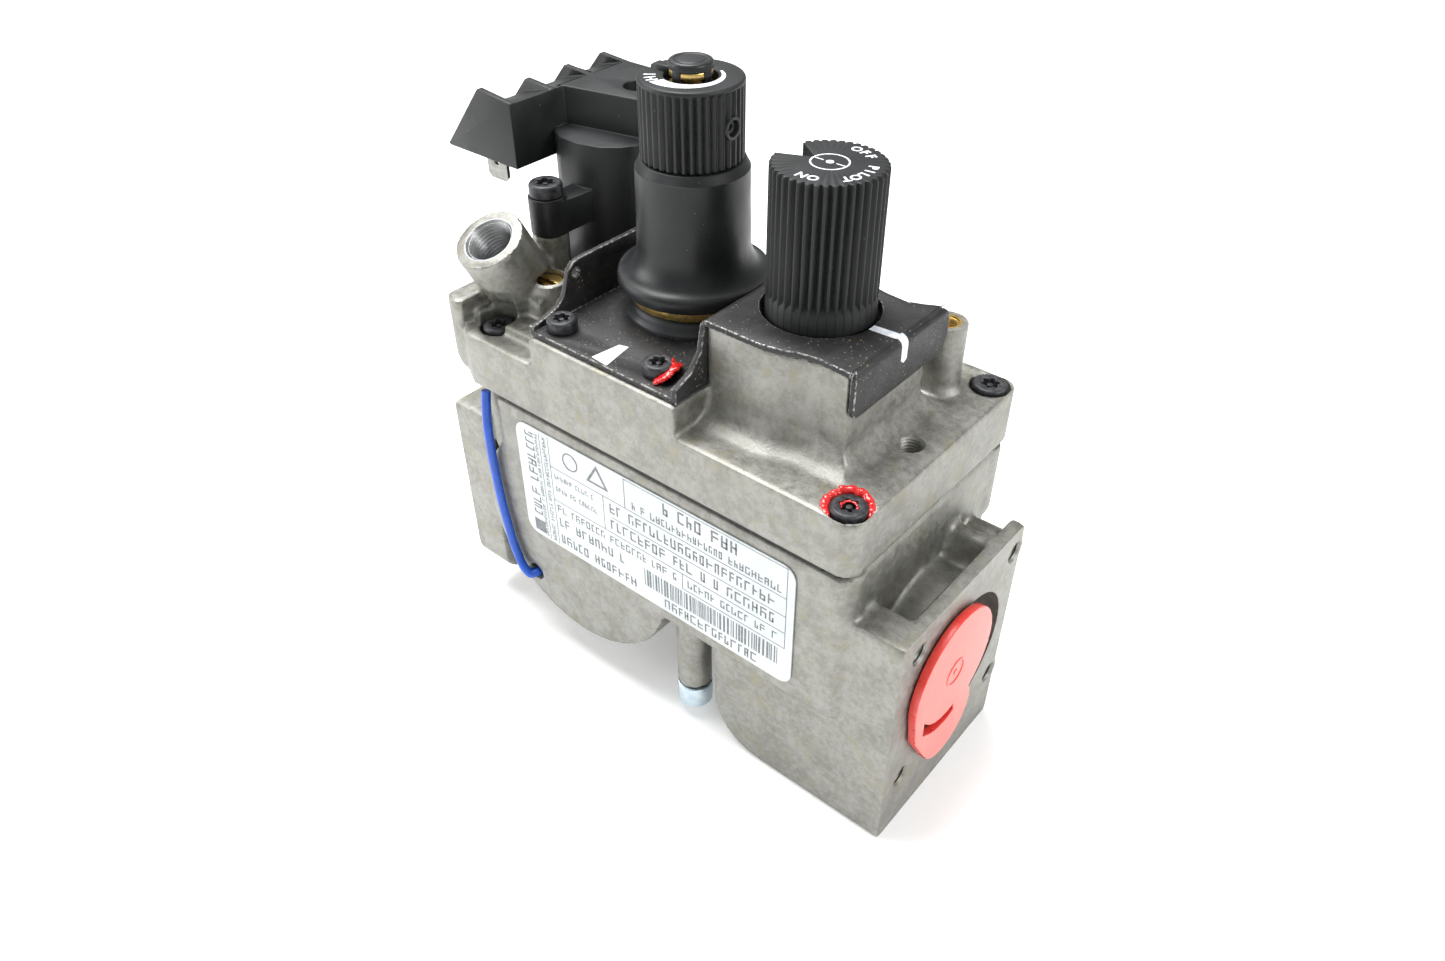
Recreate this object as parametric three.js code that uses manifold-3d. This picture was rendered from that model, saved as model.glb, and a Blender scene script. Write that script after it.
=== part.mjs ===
// A combination gas control valve for a boiler or gas fire: two aluminium castings on a
// gasket, a push-and-turn control knob, a Hi/Lo pressure regulator, a pilot outlet, a
// safety magnet and an electric operator with its terminal block.
//
// Millimetres, +Z up, +X towards the inlet flange, +Y away from the rating label.
// The pieces are laid out from one corner: x = 0 on the inlet flange face, y = 0 on the
// label face and z = 0 under the inlet block. The last lines move the whole valve so that
// it stands on z = 0 with the middle of its bounding box over the origin.

import * as THREE from 'three';
import { mergeVertices } from 'three/addons/utils/BufferGeometryUtils.js';
import Module from 'manifold-3d';

const wasm = await Module();
wasm.setup();

// ---------------------------------------------------------------- driving dimensions

const GAP = 0.3; // clearance left between pieces that are cut by their neighbours
const ROUND = 20; // sides of an ordinary turned piece
const SMALL = 8; // sides of a screw or a pin
const WELD = 1e-4;

// Pipe line through both flanges
const VALVE_LENGTH = 121.6;
const BORE = { y: 26.9, z: 32.35, recess: 16.3, recessDepth: 5.5, pipe: 10.6 };
const BOLT_PITCH = 36;
const BOLT_HOLE_R = 2.1;
const BOLT_HOLE_DEPTH = 9;
const FLANGE_Y = [2.2, 47.5];
const INLET_BLOCK = { x: [-44, 0], z: [0, 56.2], corner: 12.5, plate: 3.2 };
const OUTLET_FLANGE = { x: [-VALVE_LENGTH, -111.4], z: [8, 56.6], corner: 6 };
const NECK_R = 19.4;

// Lower body
const GASKET_Z = 66.9;
const GASKET_THICKNESS = 0.8;
const BODY = { x: [-104, -11.3], y: [0, 55.5], z: 30 };
const LABEL_BOSS = { x: [-103, -17.4], y: 6, z: [33, 64.6] };
const BELLY = { x: -83, z: 36.5, r: 27.5, y: [0, 47] };
const COLUMN = { x: -52.2, y: 5.6, r: 3.9, z: 9.4 };
// The foot under the belly is the tapping plug that the valve stands on at its outlet end.
const FOOT = { x: -84, y: 33, height: 9 };
const WIRE_END = [-97.7, 1, 18.8];

// Upper cover
const COVER = { x: [-118.6, -10.7], y: [0, 57.6], top: 80.25, corner: 3.4 };
const HIGH_TIER = { x: [-89.8, -51.1], y: [0, 52], top: 86.9 };
const LEFT_TIER = { top: 82.6, ridge: 86.2, y: [5, 52] };
const TOWER = { x: [-51.1, -22], front: [9.7, 11.9], back: [39.2, 37.9], top: 99.6 };
const POST = { x: -23, y: 46.8, r: 4, top: 95 };
const CORNER_SCREWS = {
  near_right: [-15.2, 4.4],
  far_right: [-15.2, 53.2],
  near_left: [-107, 6.8],
  far_left: [-91.2, 53.4],
  far_middle: [-62, 53.8],
};
const SCREW_SEAT_Z = 77.6; // under the head of a corner screw

// Knob shaft line
const KNOB = { x: -38.5, y: 26.7, bottom: 95, flutes: 104.4, top: 128, r: 10.2, count: 40 };
const CHAMBER_R = 13;

// Regulator line
const REG = { x: -71.25, y: 29.5 };
const HI_LO = { bottom: 121.1, top: 134.75, r: 9.85, count: 40 };

// Main gas way under the regulator
const MAIN = { x: -78, y: 28.5, r: 17.5, seat: 42 };

// Pilot outlet
const PILOT = { x: -108, y: 8, z: 99.4, r: 7.6, bore: 4.5, tilt: THREE.MathUtils.degToRad(28) };
const PILOT_SCREW = { x: -101.2, y: 16.6, r: 3.3, boss: 4.7, top: 89.6 };

// Electric operator
const LUG = { x: -108, y: 24.6, post: 95.2, top: 103.4, r: 4 };
const TERMINAL = { x: [-139.6, -117], y: [25, 61], z: [106.2, 120.2], pitch: 11.6 };
const SLOPE = Math.atan2(14, 12.4); // of the terminal face, from level
const COIL = { x: -104.5, y: 44, r: 7 };

// Folded bracket and fasteners
const SHEET = 1.2;
const BRACKET_SCREWS = [[-85.2, 5.5], [-59.8, 5.9]];
const COVER_SCREW = { headR: 3.45, headH: 3, shankR: 1.6, length: 17 };
const BRACKET_SCREW = { headR: 3.1, headH: 2.5, shankR: 1.5, length: 8 };
const TERMINAL_SCREW = { headR: 3, headH: 1.7, shankR: 1.4, length: 5 };
const LUG_SCREW = { headR: 3.6, headH: 2.8, shankR: 1.5, length: 16 };

// ---------------------------------------------------------------- finishes

const finish = (color, roughness, metalness) => () =>
  new THREE.MeshStandardMaterial({ color, roughness, metalness });
const CAST = finish(0xb9b7ae, 0.55, 0.8);
const BLACK_STEEL = finish(0x1d1d1e, 0.55, 0.3);
const BLACK_PLASTIC = finish(0x242526, 0.6, 0);
const BLACK_SCREW = finish(0x2a2b2d, 0.4, 0.7);
const BRASS = finish(0xc9a13b, 0.3, 1);
const STEEL = finish(0xb6babd, 0.3, 1);
const ZINC = finish(0xa9bcc6, 0.35, 0.9);
const RUBBER = finish(0x141414, 0.8, 0);
const LABEL = finish(0xeef1f2, 0.5, 0);
const RED = finish(0xe2382f, 0.35, 0);
const BLUE = finish(0x1f4fc0, 0.45, 0);
const COPPER = finish(0xb06a3a, 0.35, 1);

// ---------------------------------------------------------------- solids

/** Turns a closed three.js geometry into a solid that can be joined and cut. */
function toSolid(geometry) {
  const bare = geometry.clone();
  bare.deleteAttribute('normal');
  bare.deleteAttribute('uv');
  const welded = mergeVertices(bare, WELD);
  const index = welded.index.array;
  const triangles = [];
  for (let i = 0; i < index.length; i += 3) {
    const [a, b, c] = [index[i], index[i + 1], index[i + 2]];
    if (a !== b && b !== c && c !== a) triangles.push(a, b, c);
  }
  return new wasm.Manifold(new wasm.Mesh({
    numProp: 3,
    vertProperties: new Float32Array(welded.attributes.position.array),
    triVerts: new Uint32Array(triangles),
  }));
}

function toGeometry(solid) {
  const mesh = solid.getMesh();
  const geometry = new THREE.BufferGeometry();
  const points = new Float32Array(mesh.vertProperties);
  geometry.setAttribute('position', new THREE.BufferAttribute(points, 3));
  geometry.setIndex(new THREE.BufferAttribute(new Uint32Array(mesh.triVerts), 1));
  geometry.computeVertexNormals();
  return geometry;
}

/** A box from three [low, high] ranges. */
function block(x, y, z) {
  const geometry = new THREE.BoxGeometry(x[1] - x[0], y[1] - y[0], z[1] - z[0]);
  geometry.translate((x[0] + x[1]) / 2, (y[0] + y[1]) / 2, (z[0] + z[1]) / 2);
  return toSolid(geometry);
}

/** An upright cylinder. */
function pillar(x, y, r, z, sides = ROUND) {
  const geometry = new THREE.CylinderGeometry(r, r, z[1] - z[0], sides);
  geometry.rotateX(Math.PI / 2).translate(x, y, (z[0] + z[1]) / 2);
  return toSolid(geometry);
}

/** A cylinder along X. */
function barX(y, z, r, x, sides = ROUND) {
  const geometry = new THREE.CylinderGeometry(r, r, x[1] - x[0], sides);
  geometry.rotateZ(Math.PI / 2).translate((x[0] + x[1]) / 2, y, z);
  return toSolid(geometry);
}

/** A cylinder along Y. */
function barY(x, z, r, y, sides = ROUND) {
  const geometry = new THREE.CylinderGeometry(r, r, y[1] - y[0], sides);
  geometry.translate(x, (y[0] + y[1]) / 2, z);
  return toSolid(geometry);
}

/** A turned piece about an upright axis, from [radius, height] points. */
function turned(profile, x = 0, y = 0, sides = ROUND) {
  const points = profile.map(([r, z]) => new THREE.Vector2(r, z));
  return toSolid(new THREE.LatheGeometry(points, sides).rotateX(Math.PI / 2).translate(x, y, 0));
}

/** A closed ring of rectangular section. */
function ring(x, y, inner, outer, z, sides = ROUND) {
  return pillar(x, y, outer, z, sides).subtract(pillar(x, y, inner, [z[0] - 1, z[1] + 1], sides));
}

function extrude(shape, depth, curveSegments) {
  return new THREE.ExtrudeGeometry(shape, { depth, bevelEnabled: false, curveSegments });
}

/** A plate with its outline in XY. */
function slab(shape, z, curveSegments = 3) {
  return toSolid(extrude(shape, z[1] - z[0], curveSegments).translate(0, 0, z[0]));
}

/** A plate with its outline in XZ. */
function wallY(shape, y, curveSegments = 3) {
  const geometry = extrude(shape, y[1] - y[0], curveSegments);
  return toSolid(geometry.rotateX(Math.PI / 2).translate(0, y[1], 0));
}

/** A plate with its outline in YZ. */
function wallX(shape, x, curveSegments = 3) {
  const axes = new THREE.Matrix4().makeBasis(
    new THREE.Vector3(0, 1, 0),
    new THREE.Vector3(0, 0, 1),
    new THREE.Vector3(1, 0, 0),
  );
  const geometry = extrude(shape, x[1] - x[0], curveSegments);
  return toSolid(geometry.applyMatrix4(axes).translate(x[0], 0, 0));
}

function polygon(points) {
  return new THREE.Shape(points.map(([a, b]) => new THREE.Vector2(a, b)));
}

/** A rectangle with its own radius at each corner: low-left, low-right, top-right, top-left. */
function rounded([a0, a1], [b0, b1], radii) {
  const [r1, r2, r3, r4] = radii;
  const shape = new THREE.Shape();
  shape.moveTo(a0 + r1, b0);
  shape.lineTo(a1 - r2, b0);
  if (r2) shape.absarc(a1 - r2, b0 + r2, r2, -Math.PI / 2, 0);
  shape.lineTo(a1, b1 - r3);
  if (r3) shape.absarc(a1 - r3, b1 - r3, r3, 0, Math.PI / 2);
  shape.lineTo(a0 + r4, b1);
  if (r4) shape.absarc(a0 + r4, b1 - r4, r4, Math.PI / 2, Math.PI);
  shape.lineTo(a0, b0 + r1);
  if (r1) shape.absarc(a0 + r1, b0 + r1, r1, Math.PI, 1.5 * Math.PI);
  return shape;
}

const join = (...solids) => solids.reduce((sum, solid) => sum.add(solid));
const cut = (solid, ...tools) => tools.reduce((rest, tool) => rest.subtract(tool), solid);

/** Moves a solid by way of a matrix, for pieces that are modelled upright and then tilted. */
function placed(geometry, matrix) {
  return toSolid(geometry.applyMatrix4(matrix));
}

/** A wire along a list of points, closed at both ends. */
function wire(points, r, steps, sides) {
  const section = new THREE.Shape();
  section.absarc(0, 0, r, 0, 2 * Math.PI);
  const path = new THREE.CatmullRomCurve3(points.map((p) => new THREE.Vector3(...p)));
  return new THREE.ExtrudeGeometry(section, {
    steps, curveSegments: sides / 2, bevelEnabled: false, extrudePath: path,
  });
}

/** A compression spring on an upright axis. */
function coilSpring(x, y, r, z, turns, wireR) {
  const stepsPerTurn = 7;
  const count = turns * stepsPerTurn;
  const low = z[0] + wireR;
  const rise = z[1] - z[0] - 2 * wireR;
  const points = [];
  for (let i = 0; i <= count; i += 1) {
    const angle = (2 * Math.PI * i) / stepsPerTurn;
    points.push([x + r * Math.cos(angle), y + r * Math.sin(angle), low + (rise * i) / count]);
  }
  return wire(points, wireR, count, 4);
}

// ---------------------------------------------------------------- lower body casting

/** The four bolt centres of a flange, as [y, z]. */
function boltCentres() {
  const half = BOLT_PITCH / 2;
  return [-half, half].flatMap((dy) => [-half, half].map((dz) => [BORE.y + dy, BORE.z + dz]));
}

function inletBlock() {
  const { x, z, corner, plate } = INLET_BLOCK;
  const outline = rounded(x, z, [corner, 0, 0, 0]);
  const solid = wallY(outline, FLANGE_Y);
  const pocket = block([BODY.x[1], -plate], [10, FLANGE_Y[1] + 1], [BORE.z, z[1] + 1]);
  const neck = barX(BORE.y, BORE.z, NECK_R, [x[0], -plate / 2]);
  const rib = wallX(polygon([[33, 48], [37.5, 56], [40.5, 56], [40.5, 44]]), [BODY.x[1] - 1, -plate / 2]);
  return join(cut(solid, pocket), neck, rib);
}

function outletFlange() {
  const { x, z, corner } = OUTLET_FLANGE;
  const plate = wallX(rounded(FLANGE_Y, z, [corner, corner, 1, 1]), x);
  const neck = barX(BORE.y, BORE.z, NECK_R, [x[1] - 1, BODY.x[0] + 6]);
  return join(plate, neck);
}

function flangeCuts() {
  const { y, z, recess, recessDepth, pipe } = BORE;
  const inletFace = 0;
  const outletFace = -VALVE_LENGTH;
  const cuts = [
    barX(y, z, recess, [inletFace - recessDepth, inletFace + 1], 28),
    barX(y, z, pipe, [KNOB.x, inletFace]),
    barX(y, z, recess, [outletFace - 1, outletFace + recessDepth], 28),
    barX(y, z, pipe, [outletFace, MAIN.x]),
  ];
  for (const [holeY, holeZ] of boltCentres()) {
    cuts.push(barX(holeY, holeZ, BOLT_HOLE_R, [inletFace - BOLT_HOLE_DEPTH, inletFace + 1], SMALL));
    cuts.push(barX(holeY, holeZ, BOLT_HOLE_R, [outletFace - 1, outletFace + BOLT_HOLE_DEPTH], SMALL));
  }
  return cuts;
}

/** The gas way inside the lower body: inlet chamber, main chamber and the duct between. */
function gasWay() {
  const top = GASKET_Z + 1;
  return [
    pillar(KNOB.x, KNOB.y, CHAMBER_R, [14, top]),
    pillar(MAIN.x, MAIN.y, MAIN.r, [MAIN.seat + 3, top]),
    pillar(MAIN.x, MAIN.y, 9, [MAIN.seat - 1, MAIN.seat + 4]),
    pillar(MAIN.x, MAIN.y, 14.5, [18, MAIN.seat]),
    barX(KNOB.y, 55, 6.5, [MAIN.x, KNOB.x]),
  ];
}

function lowerBody() {
  const { x, y, z } = BODY;
  const main = slab(rounded(x, y, [2, 3, 4, 4]), [z, GASKET_Z]);
  const label = wallY(rounded(LABEL_BOSS.x, LABEL_BOSS.z, [2, 6, 2, 2]), [0, LABEL_BOSS.y]);
  const belly = barY(BELLY.x, BELLY.z, BELLY.r, BELLY.y, 36);
  const column = pillar(COLUMN.x, COLUMN.y, COLUMN.r, [COLUMN.z, z + 4]);
  const footBoss = pillar(FOOT.x, FOOT.y, 7.5, [FOOT.height + GAP, 20]);
  const corners = [];
  for (const [cx, cy] of Object.values(CORNER_SCREWS)) {
    corners.push(pillar(cx, cy, 4.4, [GASKET_Z - 17, GASKET_Z]));
  }
  let casting = join(main, label, belly, column, footBoss, inletBlock(), outletFlange(), ...corners);
  casting = cut(casting, ...flangeCuts(), ...gasWay());
  for (const [cx, cy] of Object.values(CORNER_SCREWS)) {
    casting = casting.subtract(pillar(cx, cy, 1.6 + GAP, [GASKET_Z - 9, GASKET_Z + 1], SMALL));
  }
  const wireHole = barY(WIRE_END[0], WIRE_END[2], 2.3, [-1, 6], SMALL);
  return cut(casting, wireHole, pillar(COLUMN.x, COLUMN.y, 2.3, [COLUMN.z - 2, COLUMN.z + 9], SMALL));
}

// ---------------------------------------------------------------- upper cover casting

/** The front and back of the tower step back in a shallow S between its two ends. */
function towerOutline(grow = 0) {
  const [left, right] = TOWER.x;
  const [frontLeft, frontRight] = TOWER.front;
  const [backLeft, backRight] = TOWER.back;
  const shape = new THREE.Shape();
  shape.moveTo(left - grow, frontLeft - grow);
  shape.lineTo(-39, frontLeft - grow);
  shape.bezierCurveTo(-34, frontLeft - grow, -33, frontRight + 0.6 - grow, -28, frontRight + 0.4 - grow);
  shape.lineTo(right + grow, frontRight - grow);
  shape.lineTo(right + grow, backRight + grow);
  shape.lineTo(-28, backRight + grow);
  shape.bezierCurveTo(-33, backRight + grow, -34, backLeft + grow, -39, backLeft + grow);
  shape.lineTo(left - grow, backLeft + grow);
  return shape;
}

/** The concave foot that blends the tower into the lower tier, as two stepped skirts. */
function towerFoot() {
  const steps = [[2.6, 0.7], [1, 2]];
  return steps.map(([grow, rise]) => slab(towerOutline(grow), [GASKET_Z + 5, COVER.top + rise]));
}

function pilotMatrix() {
  const matrix = new THREE.Matrix4().makeRotationX(PILOT.tilt);
  return matrix.setPosition(PILOT.x, PILOT.y, PILOT.z);
}

/** A cylinder on the tilted line of the pilot outlet, from depth a to depth b. */
function onPilotLine(r, a, b, sides = ROUND) {
  const geometry = new THREE.CylinderGeometry(r, r, b - a, sides);
  geometry.rotateX(Math.PI / 2).translate(0, 0, (a + b) / 2);
  return placed(geometry, pilotMatrix());
}

function coverSolids() {
  const { x, y, top, corner } = COVER;
  const base = GASKET_Z + GASKET_THICKNESS;
  const outline = new THREE.Shape();
  outline.moveTo(-109.5, y[0]);
  outline.lineTo(x[1] - corner, y[0]);
  outline.absarc(x[1] - corner, y[0] + corner, corner, -Math.PI / 2, 0);
  outline.lineTo(x[1], y[1] - corner);
  outline.absarc(x[1] - corner, y[1] - corner, corner, 0, Math.PI / 2);
  outline.lineTo(x[0] + corner, y[1]);
  outline.absarc(x[0] + corner, y[1] - corner, corner, Math.PI / 2, Math.PI);
  outline.lineTo(x[0], y[0] + 4);
  const { x: hx, y: hy, top: high } = HIGH_TIER;
  return [
    slab(outline, [base, top]),
    slab(rounded(hx, hy, [0, 0, 3, 3]), [base + 2, high]),
    slab(rounded([x[0] + 0.8, hx[0] + 1], LEFT_TIER.y, [3, 0, 0, 3]), [base + 2, LEFT_TIER.top]),
    slab(rounded([x[0] + 0.8, -112.4], [1.2, 24], [3, 1, 1, 3]), [base + 2, LEFT_TIER.ridge]),
    slab(towerOutline(), [base + 2, TOWER.top]),
    ...towerFoot(),
    pillar(POST.x, POST.y, POST.r, [top - 2, POST.top]),
    pillar(POST.x, POST.y, POST.r + 0.7, [top - 2, top + 1]),
    pillar(LUG.x, LUG.y, LUG.r, [top - 2, LUG.post]),
    pillar(PILOT_SCREW.x, PILOT_SCREW.y, PILOT_SCREW.boss, [top - 2, PILOT_SCREW.top]),
    onPilotLine(PILOT.r, -22, 0, 24),
    block([-112.5, -98], [11, 29], [top, 86.8]),
  ];
}

/** Screw pockets, spindle bore, regulator and operator chambers and the small bores. */
function coverCuts() {
  const base = GASKET_Z + GASKET_THICKNESS;
  const under = GASKET_Z - 1;
  const x0 = COVER.x[0];
  const cuts = [
    pillar(KNOB.x, KNOB.y, 11.5, [84, TOWER.top + 1], 24),
    pillar(KNOB.x, KNOB.y, 3.3, [under, TOWER.top], SMALL),
    ring(KNOB.x, KNOB.y, 3, 5, [base + 3, base + 5.2], 20),
    pillar(KNOB.x, KNOB.y, CHAMBER_R - 1.5, [under, base + 1.4]),
    pillar(MAIN.x, MAIN.y, MAIN.r, [under, base + 4.5]),
    pillar(REG.x, REG.y, 11.6, [76, HIGH_TIER.top + 1], 24),
    pillar(REG.x, REG.y, 2.2, [base, 80], SMALL),
    pillar(COIL.x, COIL.y, COIL.r, [under, 83]),
    pillar(COIL.x, COIL.y, 3, [80, 90], SMALL),
    pillar(POST.x, POST.y, 2.75, [POST.top - 8, POST.top + 1], SMALL),
    pillar(-16.7, 26.5, 2.1, [COVER.top - 6, COVER.top + 1], SMALL),
    pillar(LUG.x, LUG.y, 1.6 + GAP, [LUG.post - 9, LUG.post + 1], SMALL),
    pillar(PILOT_SCREW.x, PILOT_SCREW.y, PILOT_SCREW.r + GAP, [79, PILOT_SCREW.top + 1], 20),
    onPilotLine(PILOT.bore, -13, 1, 16),
    onPilotLine(1.6, -24, -12, SMALL),
    wallY(polygon([[x0 - 1, 66], [-109, 66], [x0 - 1, 74]]), [-1, 12]),
  ];
  for (const [cx, cy] of Object.values(CORNER_SCREWS)) {
    cuts.push(pillar(cx, cy, 4.1, [SCREW_SEAT_Z, LEFT_TIER.top + 6], 16));
    cuts.push(pillar(cx, cy, 1.6 + GAP, [under, SCREW_SEAT_Z + 1], SMALL));
  }
  for (const [cx, cy] of BRACKET_SCREWS) {
    cuts.push(pillar(cx, cy, 1.5 + GAP, [HIGH_TIER.top - 9, HIGH_TIER.top + 1], SMALL));
  }
  return cuts;
}

function upperCover() {
  return cut(join(...coverSolids()), ...coverCuts());
}

function coverGasket() {
  const sheet = slab(rounded([-100.6, -12], [0.6, 54], [1, 4, 4, 1]), [
    GASKET_Z + 0.05, GASKET_Z + GASKET_THICKNESS - 0.05,
  ]);
  const cuts = [
    pillar(KNOB.x, KNOB.y, CHAMBER_R, [60, 70]),
    pillar(MAIN.x, MAIN.y, MAIN.r, [60, 70]),
  ];
  for (const [cx, cy] of Object.values(CORNER_SCREWS)) {
    cuts.push(pillar(cx, cy, cx < -100 ? 5 : 4.6, [60, 70], SMALL));
  }
  return cut(sheet, ...cuts);
}

// ---------------------------------------------------------------- bracket

/** One folded sheet: floor, left wall, riser, upper plate round the knob, and front flap. */
function bracket() {
  const floorZ = HIGH_TIER.top + 0.1;
  const plateZ = TOWER.top + 0.1;
  const left = HIGH_TIER.x[0];
  const riserX = TOWER.x[0];
  const flapX = TOWER.x[1];
  const floor = slab(polygon([[left, 0.9], [riserX - 0.1, 0.9], [riserX - 0.1, 46], [left, 46]]), [
    floorZ, floorZ + SHEET,
  ]);
  const wallShape = new THREE.Shape();
  wallShape.moveTo(0.9, floorZ);
  wallShape.lineTo(46, floorZ);
  wallShape.lineTo(46, 96);
  wallShape.lineTo(32, 98.9);
  wallShape.lineTo(15, 98.9);
  wallShape.quadraticCurveTo(11.4, 98.9, 11, 95.6);
  wallShape.bezierCurveTo(10.4, 91.2, 8, 90.8, 5, 89.9);
  wallShape.lineTo(0.9, 89.3);
  const leftWall = wallX(wallShape, [left, left + SHEET]);
  const wallHole = barX(13.4, 96.2, 1.1, [left - 1, left + SHEET + 1], SMALL);
  const riserShape = new THREE.Shape();
  riserShape.moveTo(0.9, floorZ);
  riserShape.lineTo(TOWER.back[0], floorZ);
  riserShape.lineTo(TOWER.back[0], plateZ + SHEET);
  riserShape.lineTo(TOWER.front[0] - 0.4, plateZ + SHEET);
  riserShape.bezierCurveTo(9, 93, 6, 91.4, 0.9, 90.2);
  const riser = wallX(riserShape, [riserX - 0.1 - SHEET, riserX - 0.1]);
  const plate = slab(towerOutline(0.4), [plateZ, plateZ + SHEET]);
  const flapShape = rounded([12, 42.5], [91.3, plateZ + SHEET], [1.5, 4, 3, 1.5]);
  const flap = wallX(flapShape, [flapX + 0.2, flapX + 0.2 + SHEET]);
  const shelf = slab(polygon([[-27, 30], [flapX + 0.3, 30], [flapX + 0.3, 40.5], [-27, 38.5]]), [
    plateZ, plateZ + SHEET,
  ]);
  const cuts = [
    wallHole,
    pillar(KNOB.x, KNOB.y, 11.2, [plateZ - 1, plateZ + SHEET + 1], 24),
    pillar(REG.x, REG.y, 11.6, [floorZ - 1, floorZ + SHEET + 1], 24),
  ];
  for (const [cx, cy] of BRACKET_SCREWS) {
    cuts.push(pillar(cx, cy, 1.5 + GAP, [floorZ - 1, floorZ + SHEET + 1], SMALL));
  }
  return cut(join(floor, leftWall, riser, plate, shelf, flap), ...cuts);
}

// ---------------------------------------------------------------- fasteners

/** A cheese-head screw with a six-lobed socket, standing with its head's underside at z. */
function socketScrew(x, y, z, { headR, headH, shankR, length }) {
  const head = turned([
    [0, 0], [headR, 0], [headR, headH - 0.7], [headR - 0.7, headH], [0, headH],
  ], x, y, 16).translate([0, 0, z]);
  const shank = pillar(x, y, shankR, [z - length, z + 0.5], SMALL);
  const socket = new THREE.Shape();
  const lobes = 6;
  for (let i = 0; i < 2 * lobes; i += 1) {
    const r = headR * (i % 2 ? 0.36 : 0.54);
    const angle = (Math.PI * i) / lobes;
    const point = [x + r * Math.cos(angle), y + r * Math.sin(angle)];
    if (i === 0) socket.moveTo(...point);
    else socket.lineTo(...point);
  }
  return cut(join(head, shank), slab(socket, [z + headH - 1.5, z + headH + 1]));
}

/** A slotted adjusting screw with its head's top at z. */
function slottedScrew(x, y, r, z, length) {
  const slot = block([x - r - 1, x + r + 1], [y - 0.5, y + 0.5], [z - 1.2, z + 1]);
  return cut(pillar(x, y, r, [z - length, z], 20), slot);
}

// ---------------------------------------------------------------- control knob line

/** A fluted rim: `count` ribs between an outer and an inner radius. */
function fluted(x, y, outer, inner, count) {
  const shape = new THREE.Shape();
  for (let i = 0; i < count; i += 1) {
    const pitch = (2 * Math.PI) / count;
    const steps = [[outer, 0], [inner, 0.5]];
    for (const [r, part] of steps) {
      const angle = pitch * (i + part);
      const point = [x + r * Math.cos(angle), y + r * Math.sin(angle)];
      if (i === 0 && part === 0) shape.moveTo(...point);
      else shape.lineTo(...point);
    }
  }
  return shape;
}

/** The knob: a fluted grip over a plain collar, with a notch in its top for a screwdriver. */
function controlKnob() {
  const { x, y, bottom, flutes, top, r, count } = KNOB;
  const grip = slab(fluted(x, y, r, r - 0.75, count), [flutes, top]);
  const collar = pillar(x, y, r, [bottom, flutes + 0.2], 24);
  const notch = block([x - r - 2, x - 5.2], [y - 2.2, y + 2.6], [top - 4, top + 1]);
  const socket = pillar(x, y, 3 + GAP, [bottom - 1, top - 12], SMALL);
  const springPocket = ring(x, y, 4.6, 8.6, [bottom - 1, bottom + 4]);
  return cut(join(grip, collar), notch, socket, springPocket);
}

function knobSpindle() {
  return join(
    pillar(KNOB.x, KNOB.y, 3, [52.4, KNOB.top - 12.5], SMALL),
    pillar(KNOB.x, KNOB.y, 1.5, [46.4, 53], SMALL),
  );
}

/** The rotor that the spindle turns: it shuts or opens the duct to the main chamber. */
function controlRotor() {
  const disc = turned([
    [3.4, 58], [11.6, 58], [11.6, 63.5], [5.4, 63.5], [5.4, 65.5], [3.4, 65.5], [3.4, 58],
  ], KNOB.x, KNOB.y);
  const port = block([KNOB.x - 13, KNOB.x - 7], [KNOB.y - 4, KNOB.y + 4], [57, 61]);
  return disc.subtract(port);
}

function safetySeat() {
  return turned([
    [5.6, 43], [12.7, 43], [12.7, 46], [7, 46], [6.4, 47], [5.6, 47], [5.6, 43],
  ], KNOB.x, KNOB.y);
}

function safetyDisc() {
  return join(
    pillar(KNOB.x, KNOB.y, 8.4, [39.6, 42.7]),
    pillar(KNOB.x, KNOB.y, 2.2, [37, 46], SMALL),
    pillar(KNOB.x, KNOB.y, 6, [34.6, 37.2], 20),
  );
}

/** The holding magnet with its thermocouple thread pointing down. */
function magnetUnit() {
  return join(
    turned([[0, 16.6], [9.2, 16.6], [9.2, 26], [0, 26]], KNOB.x, KNOB.y),
    pillar(KNOB.x - 3.4, KNOB.y, 1.9, [25, 29.2], SMALL),
    pillar(KNOB.x + 3.4, KNOB.y, 1.9, [25, 29.2], SMALL),
  );
}

// ---------------------------------------------------------------- regulator line

function regulatorBase() {
  const { x, y } = REG;
  const floorTop = HIGH_TIER.top + 0.1 + SHEET;
  return turned([
    [11.3, floorTop + 0.05], [14.1, floorTop + 0.05], [14.1, 89.4], [13.2, 89.9], [12.8, 91.2],
    [11.3, 91.2], [11.3, floorTop + 0.05],
  ], x, y, 24);
}

function regulatorBody() {
  const { x, y } = REG;
  return turned([
    [8, 78], [11, 78], [11, 91.4], [13, 91.4], [13, 94.2], [10.2, 94.2], [10.2, 97], [8, 97],
    [8, 78],
  ], x, y, 24);
}

/** The plastic sleeve: a flared skirt under a plain barrel. */
function regulatorSleeve() {
  const { x, y } = REG;
  return turned([
    [14.6, 94.2], [15.5, 95.6], [15.4, 97], [13, 99.6], [11.3, 105], [11, 119.2], [10.4, 119.8],
    [7.4, 119.8], [7.4, 118], [8.6, 118], [8.6, 97.4], [10.6, 97.4], [10.6, 94.6], [14.6, 94.2],
  ], x, y, 24);
}

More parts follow.
